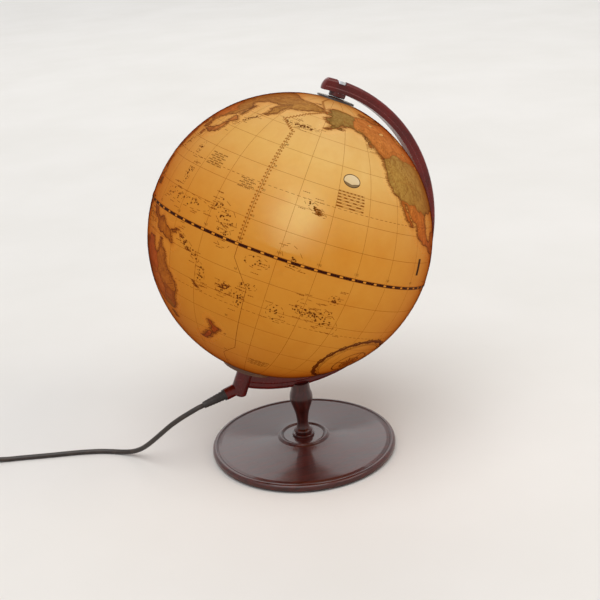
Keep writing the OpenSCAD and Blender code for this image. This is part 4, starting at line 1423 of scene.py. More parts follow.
@dataclass
class PrintedMap:
    """The map printed on the ball, as films of ink that lie on its skin."""

    ball: BallFrame
    light: WallLight
    fill_lift: float = 0.00014
    lake_lift: float = 0.00019
    line_lift: float = 0.00024
    coast_step: float = 2.4
    wash_step: tuple[float, float] = (3.0, 2.6)
    coast_shade: float = 0.66
    border_shade: float = 0.82
    shade_powers: tuple[float, float, float] = (0.7, 1.0, 1.4)
    hatch_long: tuple[float, float] = (2.0, 2.8)
    least_shore: float = 3.5
    shore_step: float = 0.9
    shore_reach: float = 0.0062
    shore_lift: float = 0.00004
    hatch_drop: float = 0.00003
    grid_lift: float = 0.0002
    numeral: float = 2.3
    low_lat: float = -79.8
    shore_low: float = -79.2
    top_lat: float = 81.6
    meridian_step: float = 15.0
    parallel_step: float = 10.0
    circles: tuple[float, ...] = (-66.56, -23.44, 23.44, 66.56)
    dash: float = 1.4
    dash_step: float = 2.4
    date_dot: float = 0.0010
    date_dot_step: float = 1.5
    date_dot_side: float = 0.75
    cache: dict[str, bpy.types.Material] = field(default_factory=dict)

    def ink(self, ink: Ink) -> bpy.types.Material:
        """Makes an ink's material once.

        Args:
            ink: the ink.

        Returns:
            Its material.
        """
        if ink.name not in self.cache:
            self.cache[ink.name] = LitPrint(self.light, ink=ink.value).make("ink_" + ink.name.lower())
        return self.cache[ink.name]

    def film(self, name: str, shape: tuple[Array, Array], ink: Ink) -> None:
        """Prints a shape as one piece."""
        add_piece(name, *shape, self.ink(ink), "globe", "lit_shell")

    def lines(self, name: str, lines: list[Array], ink: Ink, lift: float | None = None) -> None:
        """Prints a set of lines as one piece."""
        self.film(name, self.ball.ribbons(lines, LINE_WIDTHS[name], lift or self.line_lift), ink)

    def fill(self, coast: Array, tint: Tint, parts: list[tuple[Tint, Array]]) -> tuple[Array, Array, Array]:
        """Fills a coast with triangles whose edges follow the borders of its countries.

        Args:
            coast: the closed outline.
            tint: the tint of whatever no part covers.
            parts: the countries' tints and closed outlines.

        Returns:
            Longitudes and latitudes, triangles, and a tint for each corner of each triangle, which is
            darker along the coast and a little darker along the borders, as old washes are.
        """
        low, high = coast.min(0), coast.max(0)
        across, up = self.wash_step
        i, j = np.meshgrid(np.arange(low[0], high[0], across), np.arange(low[1], high[1], up))
        grid = columns(i + (np.arange(i.shape[0]) % 2)[:, None] * across / 2, j).reshape(-1, 2)
        grid = grid[within(grid, coast)]
        rings = [coast] + [ring for _, ring in parts]
        starts = np.cumsum([0] + [len(r) for r in rings])
        edges = np.vstack([columns(np.arange(len(r)), np.arange(1, len(r) + 1) % len(r)) + s
                           for r, s in zip(rings, starts)])
        spots = np.vstack(rings + [grid])
        made = delaunay_2d_cdt([Vector(p) for p in spots.tolist()], edges.tolist(), [], 0, 1e-5)
        spots = np.array([v[:] for v in made[0]])
        first = np.array([min(source) if source else starts[1] for source in made[3]])
        shade = np.where(first < starts[1], self.coast_shade,
                         np.where(first < starts[-1], self.border_shade, 1.0))
        faces = np.array([f for f in made[2] if len(f) == 3])
        middle = spots[faces].mean(axis=1)
        kept = within(middle, coast)
        faces, middle = faces[kept], middle[kept]
        faces = face_up(spots, faces)
        colour = np.tile(np.array(tint.value), (len(faces), 1))
        for part_tint, ring in parts:
            colour[within(middle, ring)] = part_tint.value
        return spots, faces, colour[:, None, :] * shade[faces][:, :, None] ** self.shade_powers

    def runs(self, ring: Array, coast: Array) -> list[Array]:
        """Cuts a border to the stretches that lie inside a coast.

        Args:
            ring: the closed border.
            coast: the coast.

        Returns:
            The stretches inside.
        """
        ring = closed(ring)
        kept = within((ring[1:] + ring[:-1]) / 2, coast).astype(int)
        turns = np.flatnonzero(np.diff(np.r_[0, kept, 0]))
        return [ring[a:b + 1] for a, b in turns.reshape(-1, 2)]

    def ticks(self, ridge: Array, every: float = 1.25, long: float = 0.85) -> list[Array]:
        """Draws a mountain range as pairs of short slanting strokes along its crest.

        Args:
            ridge: the crest.
            every: the strokes' spacing in degrees.
            long: their length in degrees.

        Returns:
            The strokes.
        """
        line = densify(ridge, every)
        ahead = unit(np.gradient(line, axis=0))
        side = columns(-ahead[:, 1], ahead[:, 0])
        left = np.stack([line, line + (side - 0.5 * ahead) * long], 1)
        right = np.stack([line, line - (side + 0.5 * ahead) * long * 0.8], 1)
        return list(left) + list(right)

    def lay_lands(self) -> None:
        """Prints every continent: its tints, coast, borders, lakes, rivers and ranges."""
        ink = LitPrint(self.light, tinted=True).make("ink_land")
        coasts, borders, rivers, ridges, lakes = [], [], [], [], []
        lands, islands = read_map(MAP_TABLE)
        for land in lands:
            coast = densify(roughen(land.coast), self.coast_step, True)
            parts = [(tint, densify(roughen(ring), self.coast_step, True)) for tint, ring in land.parts]
            spots, faces, colour = self.fill(coast, land.tint, parts)
            add_piece("land_" + land.name, self.ball.place(spots, self.fill_lift), faces, ink, "globe",
                      "lit_shell", tint=colour.reshape(-1, 3))
            coasts.append(closed(coast))
            borders += [run for _, ring in parts for run in self.runs(ring, coast)]
            rivers += [roughen(r, joined=False) for r in land.rivers]
            ridges += [t for r in land.ridges for t in self.ticks(r)]
            lakes += [roughen(r, 2) for r in land.lakes]
        shapes, colours = [], []
        for tint, ring in islands:
            shape = roughen(ring, 2 if len(ring) < 6 else 3)
            coasts.append(closed(shape))
            spots, faces, colour = self.fill(shape, tint, [])
            shapes.append((self.ball.place(spots, self.fill_lift), faces))
            colours.append(colour)
        add_piece("land_islands", *gather(shapes), ink, "globe", "lit_shell",
                  tint=np.vstack(colours).reshape(-1, 3))
        self.lay_shore([c for c in coasts if np.ptp(c, axis=0).max() > self.least_shore])
        self.lines("coast_lines", coasts, Ink.LINE)
        self.lines("shore_hatching", [h for c in coasts for h in self.hatch(c)], Ink.BORDER,
                   self.fill_lift - self.hatch_drop)
        self.lines("border_lines", borders, Ink.BORDER)
        self.lines("river_lines", rivers, Ink.BORDER)
        self.lines("mountain_strokes", ridges, Ink.BORDER)
        self.film("lake_fills", self.ball.patch(lakes, self.lake_lift), Ink.SEA)
        self.lines("lake_lines", [closed(r) for r in lakes], Ink.LINE)

    def lay_shore(self, coasts: list[Array]) -> None:
        """Shades the sea along each coast, darkest at the coast and fading out to bare paper.

        The shading is a grid whose corners take 1 - (1 - SHORE) (1 - d / reach)² from how far d they are
        from the nearest coast.

        Args:
            coasts: the closed coasts.
        """
        coast = np.vstack([densify(line, 0.8) for line in coasts])
        lons = np.arange(-180.0, 180.0, self.shore_step)
        lats = np.arange(self.shore_low, self.top_lat, self.shore_step)
        away = []
        for lat in lats:
            near = self.ball.place(coast[np.abs(coast[:, 1] - lat) < self.least_shore], 0.0)
            row = self.ball.place(columns(lons, lat), 0.0)
            away.append(np.linalg.norm(row[:, None] - near[None], axis=2).min(axis=1, initial=1.0))
        away = np.array(away)
        faces = grid_faces(len(lats), len(lons), True)
        faces = faces[(away.ravel()[faces] < self.shore_reach).any(axis=1)]
        used, faces = np.unique(faces, return_inverse=True)
        faces = faces.reshape(-1, 4)
        i, j = np.meshgrid(lats, lons, indexing="ij")
        spots = columns(j, i).reshape(-1, 2)[used]
        fade = np.clip(1 - away.ravel()[used] / self.shore_reach, 0, 1) ** 2
        tint = 1 - (1 - np.array(Ink.SHORE.value)) * fade[:, None]
        ink = LitPrint(self.light, tinted=True, wash=0.0).make("ink_shore")
        add_piece("shore_shading", self.ball.place(spots, self.shore_lift), faces, ink, "globe", "lit_shell",
                  tint=tint[faces].reshape(-1, 3))

    def hatch(self, coast: Array) -> list[Array]:
        """Draws short level strokes from a coast out over the sea, as engravers shade a shore.

        A stroke's end is its start ± 2.0 to 4.8 mm east, on the side that lies outside the coast.

        Args:
            coast: the closed coast.

        Returns:
            The strokes.
        """
        line = densify(coast, 0.5)
        ahead = np.diff(line, axis=0)
        start = line[:-1][np.abs(ahead[:, 1]) > 0.25 * np.abs(ahead[:, 0])]
        long = self.hatch_long[0] + self.hatch_long[1] * np.modf(np.abs(np.sin(start @ SCATTER)) * 437.58)[0]
        strokes = []
        for way in (-1.0, 1.0):
            end = self.ball.near((0.0, 0.0), columns(way * long, 0.0))[:, :1] / np.cos(
                np.radians(start[:, 1:]))
            end = np.hstack([start[:, :1] + end, start[:, 1:]])
            free = ~within(end, coast) & ~within((start * 0.7 + end * 0.3), coast)
            strokes += list(np.stack([start, end], 1)[free])
        return strokes

    def lay_grid(self) -> None:
        """Prints the meridians, parallels, tropics, polar circles and the date line, dotted in the north."""
        lats = np.linspace(self.low_lat, self.top_lat, 110)
        meridians = [columns(lon, lats) for lon in np.arange(-165.0, 180.0, self.meridian_step)]
        lons = np.linspace(-180, 180, 241)
        parallels = [columns(lons, lat) for lat in np.arange(-70.0, 81.0, self.parallel_step) if lat]
        self.lines("grid_lines", meridians + parallels, Ink.GRID, self.grid_lift)
        dashes = [np.array([[lon, lat], [lon + self.dash, lat]])
                  for lat in self.circles for lon in np.arange(-180.0, 180.0, self.dash_step)]
        self.lines("tropic_dashes", dashes, Ink.BORDER, self.grid_lift)
        line = outline("180,-79.8 180,-52 187.5,-45 187.5,-15 180,-5 180,48 170,53 180,60 191,65 190,68 "
                       "180,75 180,81.6")
        self.lines("date_line", [line], Ink.BORDER)
        marks = np.vstack([densify(line, self.date_dot_step) + (side, 0.0)
                           for side in (-self.date_dot_side, self.date_dot_side)])
        dots = self.ball.dots(marks[marks[:, 1] > 0], self.date_dot, self.line_lift)
        self.film("date_line_dots", dots, Ink.GRID)

    def lay_islets(self) -> None:
        """Strews the small islands of each group, with a dashed line round the group."""
        rng = np.random.default_rng(41)
        spots, sizes, dashes = [], [], []
        for lon, lat, wide, high, slant, count in ISLET_GROUPS:
            at = rng.normal(0, 0.42, (count, 2)) * (wide, high)
            turned = columns(at[:, 0], at[:, 1] + slant * at[:, 0])
            spots.append(turned + (lon, lat))
            sizes.append(rng.uniform(0.0004, 0.0011, count))
            a = np.linspace(0, 2 * np.pi, 2 * max(9, int(wide * 1.7)) + 1)
            rim = columns(lon + wide * 1.12 * np.cos(a),
                          lat + high * 1.15 * np.sin(a) + slant * wide * 1.12 * np.cos(a))
            dashes += [rim[k:k + 2] for k in range(0, len(rim) - 1, 2)]
        dots = self.ball.dots(np.vstack(spots), np.concatenate(sizes), self.line_lift)
        self.film("islet_dots", dots, Ink.LINE)
        self.lines("island_group_dashes", dashes, Ink.BORDER, self.grid_lift)

    def lay_rose(self, home: tuple[float, float], size: float) -> None:
        """Prints a plain sixteen-point compass rose, half of each point dark and half left as paper.

        Point k's tip lies on the bearing 22.5 k degrees, and its feet are on a small ring on either side.

        Args:
            home: its longitude and latitude.
            size: the length of its main points in millimetres.
        """
        dark, pale, ring = [], [], []
        for k in range(16):
            long = size * (1.0, 0.5, 0.72, 0.5)[k % 4]
            a, w = np.pi * k / 8, np.pi / 16 if k % 2 == 0 else np.pi / 24
            tip = np.array([np.sin(a), np.cos(a)]) * long
            for side, pile in ((-1, dark), (1, pale)):
                foot = np.array([np.sin(a + side * w * 2), np.cos(a + side * w * 2)]) * size * 0.2
                corners = (tip, foot) if side > 0 else (foot, tip)
                pile.append(self.ball.near(home, [[0, 0], *corners]))
        a = np.linspace(0, -2 * np.pi, 73)
        for share in (0.42, 0.46, 0.8, 0.84):
            ring.append(self.ball.near(home, columns(np.sin(a), np.cos(a)) * size * share))
        spokes = [self.ball.near(home, np.array([[np.sin(b), np.cos(b)]]) * size * np.array([[0.8], [0.84]]))
                  for b in np.arange(0, 2 * np.pi, np.pi / 36)]
        for name, pile, ink in (("rose_pale", pale, Ink.SHORE), ("rose_dark", dark, Ink.LINE)):
            points, faces = self.ball.patch(pile, self.lake_lift)
            self.film(name, (points, faces[:, ::-1]), ink)
        self.lines("rose_rings", ring + spokes, Ink.LINE)

    def lay_scroll_frame(self, home: tuple[float, float], wide: float, high: float) -> None:
        """Prints a bare oval panel within a heavy scalloped line, two fine lines, beads and pairs of curls.

        The scalloped line is an ellipse times 1 + 0.045 |sin 9a|.

        Args:
            home: the panel's longitude and latitude.
            wide: half its width in millimetres.
            high: half its height in millimetres.
        """
        a = np.linspace(0, 2 * np.pi, 217)
        ring = oval(a, wide, high)
        lobes = 1 + 0.045 * np.abs(np.sin(9 * a))[:, None]
        edge = self.ball.near(home, ring * lobes)
        self.lines("scroll_heavy_line", [edge], Ink.LINE)
        inner = [self.ball.near(home, ring * share) for share in (0.93, 0.89)]
        self.lines("scroll_fine_lines", inner, Ink.LINE)
        curls = []
        for b in np.arange(18) * np.pi / 9:
            mid = oval(b, wide, high) * 1.06
            turn = np.linspace(0, 1.5 * np.pi, 13)
            for side in (-1, 1):
                curl = oval(turn, 2.0 * side, 2.0) * (1 - turn / 7)[:, None]
                out = np.array([[np.sin(b), -np.cos(b)], [np.cos(b), np.sin(b)]])
                curls.append(self.ball.near(home, mid + (curl + (-2.2 * side, 0)) @ out))
        self.lines("scroll_curls", curls, Ink.LINE)
        b = np.arange(72) * np.pi / 36
        beads = self.ball.near(home, oval(b, wide, high) * 0.965)
        self.film("scroll_beads", self.ball.dots(beads, 0.00055, self.line_lift), Ink.BORDER)

    def lay_oval(self, home: tuple[float, float], wide: float, high: float) -> None:
        """Prints a bare pale oval with a shaded foot and a dark rim.

        Args:
            home: longitude and latitude of its middle.
            wide: half its width in millimetres.
            high: half its height in millimetres.
        """
        a = np.linspace(0, 2 * np.pi, 49)[:-1]
        disc = self.ball.near(home, oval(a, wide, high))
        self.film("oval_field", self.ball.patch([disc], self.lake_lift), Ink.PALE)
        low = np.linspace(np.pi * 1.08, np.pi * 1.92, 25)
        rise = (oval(low, wide, 2.6) + (0, -1.2))[::-1]
        foot = self.ball.near(home, np.vstack([oval(low, wide, high), rise]))
        self.film("oval_foot", self.ball.patch([foot], self.line_lift), Ink.STEEL)
        self.lines("oval_rim", [closed(disc)], Ink.DARK)

    def lay_scale_bars(self, home: tuple[float, float]) -> None:
        """Prints a nest of plain scale bars, each with cells of its own length.

        Args:
            home: longitude and latitude of the nest's middle.
        """
        cells, frames, half = [], [], 14.0
        for row, cell in enumerate((2.0, 2.5, 3.2, 4.0, 5.0, 6.4)):
            y = 7.5 - 3.0 * row
            cells += [self.ball.near(home, [[x, y], [min(x + cell, half), y]])
                      for x in np.arange(-half, half, 2 * cell)]
            frames += [self.ball.near(home, [[-half, y + d], [half, y + d]]) for d in (-0.55, 0.55)]
        self.lines("scale_bar_cells", cells, Ink.BORDER)
        self.lines("scale_bar_frames", frames, Ink.BORDER)

    def lay_waves(self, homes: tuple[tuple[float, float, float], ...]) -> None:
        """Prints rows of wave strokes at each place, given with its width in millimetres.

        A stroke is y = 1.1 |sin(x)| over three humps, and the rows are offset by half a stroke.

        Args:
            homes: longitude, latitude and width of each place.
        """
        x = np.linspace(0, 3 * np.pi, 37)
        strokes = []
        for lon, lat, wide in homes:
            for row, y in enumerate(np.arange(wide * 0.3, -wide * 0.31, -2.1)):
                for dx in np.arange(-wide / 2 + 3.4 * (row % 2), wide / 2 - 4, 7.4):
                    stroke = columns(x * 0.62 + dx, 1.1 * np.abs(np.sin(x)) + y)
                    strokes.append(self.ball.near((lon, lat), stroke))
        self.lines("wave_strokes", strokes, Ink.LINE)

    def lay_soundings(self) -> None:
        """Strews short rows of plain dashes over the island seas, as old charts have."""
        rng = np.random.default_rng(7)
        rows = []
        for lon, lat, wide, high, slant, count in ISLET_GROUPS:
            for _ in range(max(4, count // 2)):
                at = rng.uniform(-1.25, 1.25, 2) * (wide, high + 1.6)
                home = (lon + at[0], lat + at[1] + slant * at[0])
                x = -rng.uniform(1.5, 4.0)
                while x < 3.6:
                    long = rng.uniform(0.5, 1.7)
                    rows.append(self.ball.near(home, [[x, 0.0], [x + long, 0.0]]))
                    x += long + 0.55
        self.lines("sounding_dashes", rows, Ink.BORDER, self.grid_lift)

    def lay_numbers(self) -> None:
        """Prints plain degree numbers along the equator and the 180th meridian."""
        spots = [(lon, 2.1, abs(lon)) for lon in range(-165, 181, 15)]
        spots += [(181.6, lat + 1.2, abs(lat)) for lat in range(-70, 71, 10) if lat]
        shapes = []
        for lon, lat, value in spots:
            flat, faces = figure(str(value), self.numeral)
            shapes.append((self.ball.place(self.ball.near((lon, lat), flat), self.line_lift), faces))
        self.film("degree_numbers", gather(shapes), Ink.LINE)
        ladder = [self.ball.near((180.0, lat), [[-1.4 if k % 5 else -2.4, 0.0], [0.0, 0.0]])
                  for k, lat in enumerate(np.arange(0.0, 60.1, 2.0))]
        self.lines("meridian_ladder", ladder, Ink.BORDER)

    def build(self) -> None:
        """Prints the whole map."""
        self.lay_lands()
        self.lay_grid()
        self.lay_islets()
        self.lay_rose((-107.0, -39.0), 23.0)
        self.lay_scroll_frame((-107.0, -39.0), 40.0, 36.0)
        self.lay_oval((-144.7, 35.1), 8.4, 6.6)
        self.lay_scale_bars((-143.9, 27.3))
        self.lay_waves(((155.9, 24.9, 22.0), (173.9, 20.9, 15.0), (-158.0, -52.0, 20.0), (-20.0, -28.0, 22.0),
                        (75.0, -30.0, 22.0), (-42.0, 33.0, 18.0)))
        self.lay_soundings()
        self.lay_numbers()
        self.lines("reading_bar", [np.array([[-101.5, 5.2], [-101.5, 11.6]])], Ink.DARK)


ISLET_GROUPS = (
    (-157.5, 21.0, 4.5, 1.4, -0.4, 12), (-178, 52.2, 11, 1.0, 0.02, 30), (153, 47.5, 6, 1.2, 1.0, 18),
    (178.5, -18, 3.2, 2.4, 0, 16), (159.5, -8.4, 6, 1.6, -0.55, 22), (-143, -17.5, 9, 4.0, -0.4, 46),
    (151, 7.4, 12, 2.2, 0, 34), (171, 8.2, 5.5, 3.4, -0.5, 26), (173.5, 0.6, 3.2, 3.2, -0.4, 16),
    (167.3, -16.4, 2.2, 3.6, -0.6, 16), (-172.2, -13.8, 3.2, 1.0, 0, 9), (-174.8, -19.8, 1.6, 3.0, 0.3, 13),
    (-150.5, -16.8, 3.4, 1.3, -0.3, 12), (-139.8, -9.2, 2.2, 1.6, 0, 10), (-159.8, -20.0, 3.2, 2.6, 0, 11),
    (-171.5, -4, 4.2, 2.0, 0, 9), (-160, 2, 4.0, 3.2, -0.5, 9), (145.6, 17, 1.4, 4.2, 0, 13),
    (142, 27, 1.2, 2.4, 0, 8), (127.5, 26.5, 3.0, 1.2, 1.0, 13), (-90.6, -0.6, 1.8, 1.2, 0, 9),
    (-77, 24.2, 3.2, 2.2, -0.6, 16), (-62, 15, 1.2, 3.6, 0, 13), (73, 3.2, 1.0, 4.2, 0, 13),
    (55.5, -4.8, 2.2, 1.4, 0, 9), (128, -4.4, 6, 3.2, 0, 34), (123.5, 10.8, 2.6, 1.6, 0, 18),
    (-28, 38.4, 2.6, 1.2, -0.3, 8), (-16, 28.3, 2.6, 1.0, 0, 8), (-24, 16, 1.6, 1.2, 0, 8),
    (25, 37, 2.4, 1.8, 0, 18), (-74, -48, 1.4, 5.2, 0, 22), (-134, 56.5, 2.2, 2.0, -1.0, 14),
)


@dataclass
class EquatorScale:
    """The printed scale on the tape that covers the ball's seam."""

    ball: BallFrame
    light: WallLight
    tape: float = 0.00045
    film: float = 0.00008
    cell: float = 3.7
    period: float = 5.0
    border: float = 0.46

    def build(self) -> None:
        """Prints the dark cells and the two border lines over the tape."""
        starts = np.arange(0, 360, self.period)
        cells = [np.array([[a, 0.0], [a + self.cell / 2, 0.0], [a + self.cell, 0.0]]) for a in starts]
        lons = np.linspace(0, 360, 361)
        sides = [columns(lons, lat) for lat in (-self.border, self.border)]
        dark = LitPrint(self.light, ink=(0.045, 0.012, 0.05)).make("ink_scale")
        for name, lines in (("equator_cells", cells), ("equator_border_lines", sides)):
            shape = self.ball.ribbons(lines, LINE_WIDTHS[name], self.tape + self.film)
            add_piece(name, *shape, dark, "globe", "seam_tape")


def figure(text: str, size: float) -> tuple[Array, Array]:
    """Shapes plain numerals, centred on their own middle.

    Args:
        text: the digits.
        size: their height in millimetres.

    Returns:
        Points as x and y in millimetres, and triangles.
    """
    curve = bpy.data.curves.new("numeral", "FONT")
    curve.body = text
    curve.size = size * 1.38
    curve.resolution_u = 3
    source = add_thing("numeral", curve)
    bpy.context.view_layer.update()
    mesh = bpy.data.meshes.new_from_object(source.evaluated_get(bpy.context.evaluated_depsgraph_get()))
    mesh.calc_loop_triangles()
    points = np.zeros(len(mesh.vertices) * 3)
    mesh.vertices.foreach_get("co", points)
    faces = np.zeros(len(mesh.loop_triangles) * 3, dtype=np.int32)
    mesh.loop_triangles.foreach_get("vertices", faces)
    bpy.data.objects.remove(source)
    bpy.data.curves.remove(curve)
    bpy.data.meshes.remove(mesh)
    flat = points.reshape(-1, 3)[:, :2]
    flat = flat - (flat.min(0) + flat.max(0)) / 2
    return flat, face_up(flat, faces.reshape(-1, 3))


@dataclass
class HourDial:
    """The gilt marks on the hour dial at the north pole."""

    ball: BallFrame
    face: float = 0.0024
    film: float = 0.00006
    rings: tuple[float, ...] = (19.3, 17.2, 12.4)
    half_hour: float = 18.3
    numeral_ring: float = 14.8
    numeral: float = 2.1

    def spot(self, radius: Array, angle: Array) -> Array:
        """Gives the map position of a point by its distance from the axis in millimetres and its angle."""
        over = (self.ball.radius + self.face) / MM
        return columns(np.degrees(angle), 90 - np.degrees(np.arcsin(radius / over)))

    def build(self, gilt: bpy.types.Material) -> None:
        """Lays the rings, the hour ticks and the numerals on the dial.

        Args:
            gilt: the marks' material.
        """
        lift = self.face + self.film
        a = np.linspace(0, 2 * np.pi, 121)
        lines = [self.spot(r, a) for r in self.rings]
        hours = np.arange(48) * np.pi / 24
        rim, foot = self.rings[:2]
        lines += [self.spot(np.array([foot, self.half_hour if k % 2 else rim]), np.array([h, h]))
                  for k, h in enumerate(hours)]
        shape = self.ball.ribbons(lines, LINE_WIDTHS["dial_rings"], lift)
        add_piece("dial_rings", *shape, gilt, "hour_dial", "dial_plastic")
        shapes = []
        for hour in range(24):
            flat, faces = figure(str(hour % 12 + 1), self.numeral)
            angle = (hour + 1) * np.pi / 12 + flat[:, 0] / self.numeral_ring
            shapes.append((self.ball.place(self.spot(self.numeral_ring - flat[:, 1], angle), lift), faces))
        add_piece("dial_numerals", *gather(shapes), gilt, "hour_dial", "dial_plastic")


@dataclass
class HandSwitch:
    """The marks moulded on the hand switch's rocker: a stroke for on and a ring for off."""

    pivot: tuple[float, float, float] = (-383.0, 133.0, 10.6)
    hollow: float = 15.0
    crown: float = 4.4
    paint: float = 0.05
    mark: float = 5.4
    tilt: float = 9.0

    def settle(self, flat: Array) -> Array:
        """Lays points on the rocker's hollow top: z = hollow + crown - sqrt(hollow² - x²), then turned.

        Args:
            flat: x and y across the rocker, in millimetres.

        Returns:
            The points in the frame.
        """
        x, y = flat[:, 0], flat[:, 1]
        z = self.hollow + self.crown - np.sqrt(self.hollow ** 2 - x ** 2) + self.paint
        s, c = math.sin(math.radians(-self.tilt)), math.cos(math.radians(-self.tilt))
        return (columns(x * c + z * s, y, -x * s + z * c) + self.pivot) * MM

    def build(self, paint: bpy.types.Material) -> None:
        """Prints the stroke and the ring.

        Args:
            paint: the marks' material.
        """
        u, v = np.meshgrid(np.linspace(-0.3, 0.3, 3), np.linspace(-1.7, 1.7, 5))
        stroke = columns(u - self.mark, v).reshape(-1, 2)
        add_piece("rocker_on_mark", self.settle(stroke), grid_faces(5, 3), paint, "rocker", "rocker_plastic")
        a = np.linspace(0, 2 * np.pi, 36, endpoint=False)
        r = np.array([1.15, 1.45, 1.75])[:, None]
        ring = (oval(a) * r[..., None] + (self.mark, 0)).reshape(-1, 2)
        add_piece("rocker_off_mark", self.settle(ring), grid_faces(3, 36, True)[:, ::-1], paint, "rocker",
                  "rocker_plastic")


@dataclass
class Dressing:
    """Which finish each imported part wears."""

    nodes: dict[str, bpy.types.Object]
    light: WallLight

    def wear(self, finish: bpy.types.Material, *names: str) -> None:
        """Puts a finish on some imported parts.

        Args:
            finish: the material.
            names: the parts' names.
        """
        for name in names:
            part = self.nodes[name]
            if not part.material_slots:
                part.data.materials.append(finish)
            for place in part.material_slots:
                place.material = finish
            LOG.info("%s wears %s", name, finish.name)

    def build(self) -> None:
        """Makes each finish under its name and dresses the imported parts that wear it."""
        for name, finish, parts in (
                ("green_felt", Felt(), "felt_pad"),
                ("turned_foot", LacqueredWood(grain=(30.0, 260.0, 260.0)), "base_plinth"),
                ("turned_stem", LacqueredWood(), "stem"),
                ("arm_moulding", MouldedPlastic("4e0803", "6a0e05", 0.22, 0.0, 0.34), "meridian_arm"),
                ("spacer_moulding", MouldedPlastic("4e0d06", "641509", 0.26, 0.0, 0.34), "top_spacer"),
                ("dial_moulding", MouldedPlastic("1d1412", "2c1d19", 0.25, 0.3), "hour_dial"),
                ("zinc_plate", Metal("b9bcc0", "8a8d90", 0.32),
                 "tie_bolt tie_washer tie_nut tube_nut lamp_tube"),
                ("bright_pin", Metal("c9ccd0", "a2a5a8", 0.18), "top_pin switch_screws"),
                ("stamped_brass", Metal("c79a4a", "8c6527", 0.26), "socket_shell centre_contact"),
                ("nickel_cap", Metal("d6d3cc", "a8a39a", 0.3, (1200.0, 1200.0, 1200.0)), "bulb_cap"),
                ("amber_moulding", MouldedPlastic("6e431d", "5a3415", 0.35),
                 "bearing_plug north_ferrule south_ferrule joining_ring"),
                ("holder_moulding", MouldedPlastic("16100d", "2a1d16", 0.3, 0.2), "lamp_holder"),
                ("frosted_bulb", LampGlass(), "bulb_glass"),
                ("hot_wire", GlowingWire(), "bulb_filament"),
                ("ball_wall", LitPrint(self.light, through=0.12), "north_hemisphere south_hemisphere"),
                ("tape_print", LitPrint(self.light, ink=(1.0, 0.93, 0.80)), "equator_band"),
                ("inner_lead_sheath", CordSheath(), "inner_lead"),
                ("gland_rubber", MouldedPlastic("1b1512", "2b221d", 0.5), "cord_gland"),
                ("switch_moulding", MouldedPlastic("2b1c14", "38271d", 0.28), "switch_base switch_cover"),
                ("rocker_moulding", MouldedPlastic("16120f", "231c18", 0.22), "switch_rocker"),
                ("tie_moulding", MouldedPlastic("1a1614", "2a2420", 0.5), "coil_tie"),
                ("plug_moulding", MouldedPlastic("241a14", "33261e", 0.34), "plug_body"),
                ("bright_brass", Metal("caa867", "9a7a3e", 0.2), "plug_pins")):
            self.wear(finish.make(name), *parts.split())


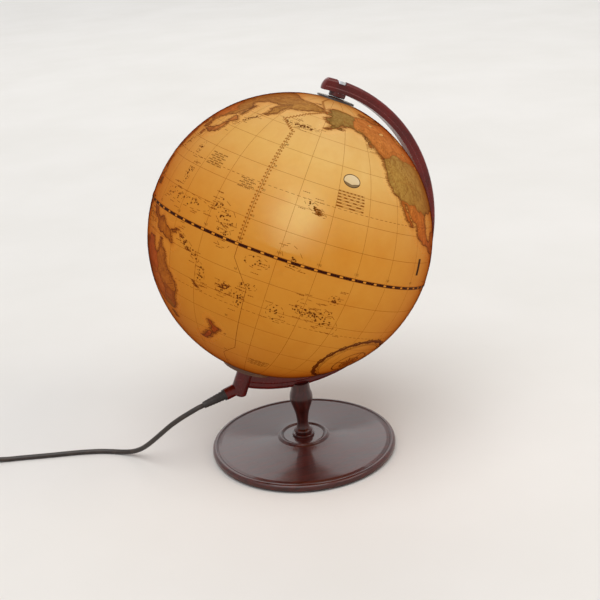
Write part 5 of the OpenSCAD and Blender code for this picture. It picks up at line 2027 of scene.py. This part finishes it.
@dataclass
class Studio:
    """The camera, the pale floor, which pales further off to meet the backdrop, and the soft lights."""

    spot: tuple[float, float, float] = (-0.38646, -1.04004, 0.61532)
    turn: tuple[float, float, float] = (68.48, 3.48, -22.06)
    lens: float = 66.0
    floor_half: float = 45.0
    paling: tuple[float, float] = (3.0, 8.0)
    pale_light: float = 0.21
    lit_spot: tuple[float, float, float] = (0.0, 0.0, 0.15)

    def set_camera(self) -> None:
        """Stands the camera where the picture was taken from."""
        data = bpy.data.cameras.new("camera")
        data.lens, data.sensor_width, data.clip_end = self.lens, 36.0, 200.0
        camera = add_thing("camera", data)
        camera.location = self.spot
        camera.rotation_euler = [math.radians(a) for a in self.turn]
        bpy.context.scene.camera = camera
        bpy.context.scene.view_settings.view_transform = "Standard"

    def lay_floor(self) -> None:
        """Lays a pale floor out to far past what the camera sees."""
        x, y = np.meshgrid(*[np.linspace(-self.floor_half, self.floor_half, 13)] * 2)
        points = columns(x, y, -0.0001).reshape(-1, 3)
        r = Recipe("floor_pale")
        cloud = r.noise(3.0, 4.0)
        seen = r.node("LightPath").outputs["Is Camera Ray"]
        paled = r.span(r.vector("LENGTH", r.coords), *self.paling, 0.0, self.pale_light)
        r.set(base_color=r.mix(r.span(cloud, 0.3, 0.7), linear("dfdcd6"), linear("e4e1dc")),
              roughness=0.75, specular_ior_level=0.0, emission_color=linear("efefef"),
              emission_strength=r.math("MULTIPLY", seen, paled))
        mesh = bpy.data.meshes.new("floor")
        mesh.from_pydata(points.tolist(), [], grid_faces(13, 13).tolist())
        mesh.materials.append(r.material)
        add_thing("floor", mesh)

    def light_world(self) -> None:
        """Fills the room with even light, and shows it white to the camera, to gloss and through glass."""
        world = bpy.data.worlds.new("room")
        world.use_nodes = True
        bpy.context.scene.world = world
        tree = world.node_tree
        tree.nodes.clear()
        path = tree.nodes.new("ShaderNodeLightPath")
        seen = path.outputs["Is Camera Ray"]
        for ray in ("Is Glossy Ray", "Is Transmission Ray"):
            either = tree.nodes.new("ShaderNodeMath")
            either.operation = "MAXIMUM"
            tree.links.new(seen, either.inputs[0])
            tree.links.new(path.outputs[ray], either.inputs[1])
            seen = either.outputs[0]
        both = tree.nodes.new("ShaderNodeMixShader")
        tree.links.new(seen, both.inputs[0])
        for slot, (colour, strength) in enumerate((((0.93, 0.95, 1.0), 0.4), ((0.86, 0.86, 0.86), 1.0)), 1):
            room = tree.nodes.new("ShaderNodeBackground")
            room.inputs["Color"].default_value = (*colour, 1.0)
            room.inputs["Strength"].default_value = strength
            tree.links.new(room.outputs[0], both.inputs[slot])
        output = tree.nodes.new("ShaderNodeOutputWorld")
        tree.links.new(both.outputs[0], output.inputs["Surface"])

    def hang_lamp(self, name: str, where: tuple[float, float, float], size: float, power: float,
                  colour: str) -> None:
        """Hangs one square soft light, facing the ball.

        Args:
            name: its name.
            where: its place.
            size: its side in metres.
            power: its power in watts.
            colour: its colour.
        """
        data = bpy.data.lights.new(name, "AREA")
        data.shape, data.size, data.energy, data.color = "SQUARE", size, power, linear(colour)
        lamp = add_thing(name, data)
        lamp.location = where
        lamp.rotation_euler = (Vector(self.lit_spot) - Vector(where)).to_track_quat("-Z", "Y").to_euler()

    def build(self) -> None:
        """Lays the floor and hangs the lights."""
        self.lay_floor()
        self.light_world()
        for lamp in (("key", (2.5, -2.3, 3.1), 2.2, 48.0, "fff6ec"),
                     ("fill", (-3.0, -1.4, 2.2), 2.6, 14.0, "f4f6ff"),
                     ("back", (0.8, 3.0, 2.8), 2.4, 22.0, "ffffff")):
            self.hang_lamp(*lamp)
        data = bpy.data.lights.new("sky", "SUN")
        data.energy, data.angle = 1.75, math.radians(50)
        add_thing("sky", data).rotation_euler = (math.radians(18), math.radians(-14), 0)


def main() -> None:
    """Builds every part of the scene in order and reports the pieces."""
    logging.basicConfig(level=logging.INFO, format="%(message)s")
    studio = Studio()
    studio.set_camera()
    nodes = frame["nodes"]
    MainsLead().build(nodes)
    spin = next(j for j in frame["joints"] if j["name"] == "globe_spin")
    ball = BallFrame(Vector(spin["pos_m"]), Vector(spin["axis"]).normalized())
    light = WallLight(ball.centre, ball.centre + ball.axis * BULB_RISE, ball.radius)
    Dressing(nodes, light).build()
    PrintedMap(ball, light).build()
    EquatorScale(ball, light).build()
    HourDial(ball).build(Metal("d8b060", "a97f36", 0.3).make("gilt_print"))
    HandSwitch().build(MouldedPlastic("e6e2d8", "d2cdc0", 0.4).make("mark_paint"))
    studio.build()


if __name__ == "__main__":
    main()
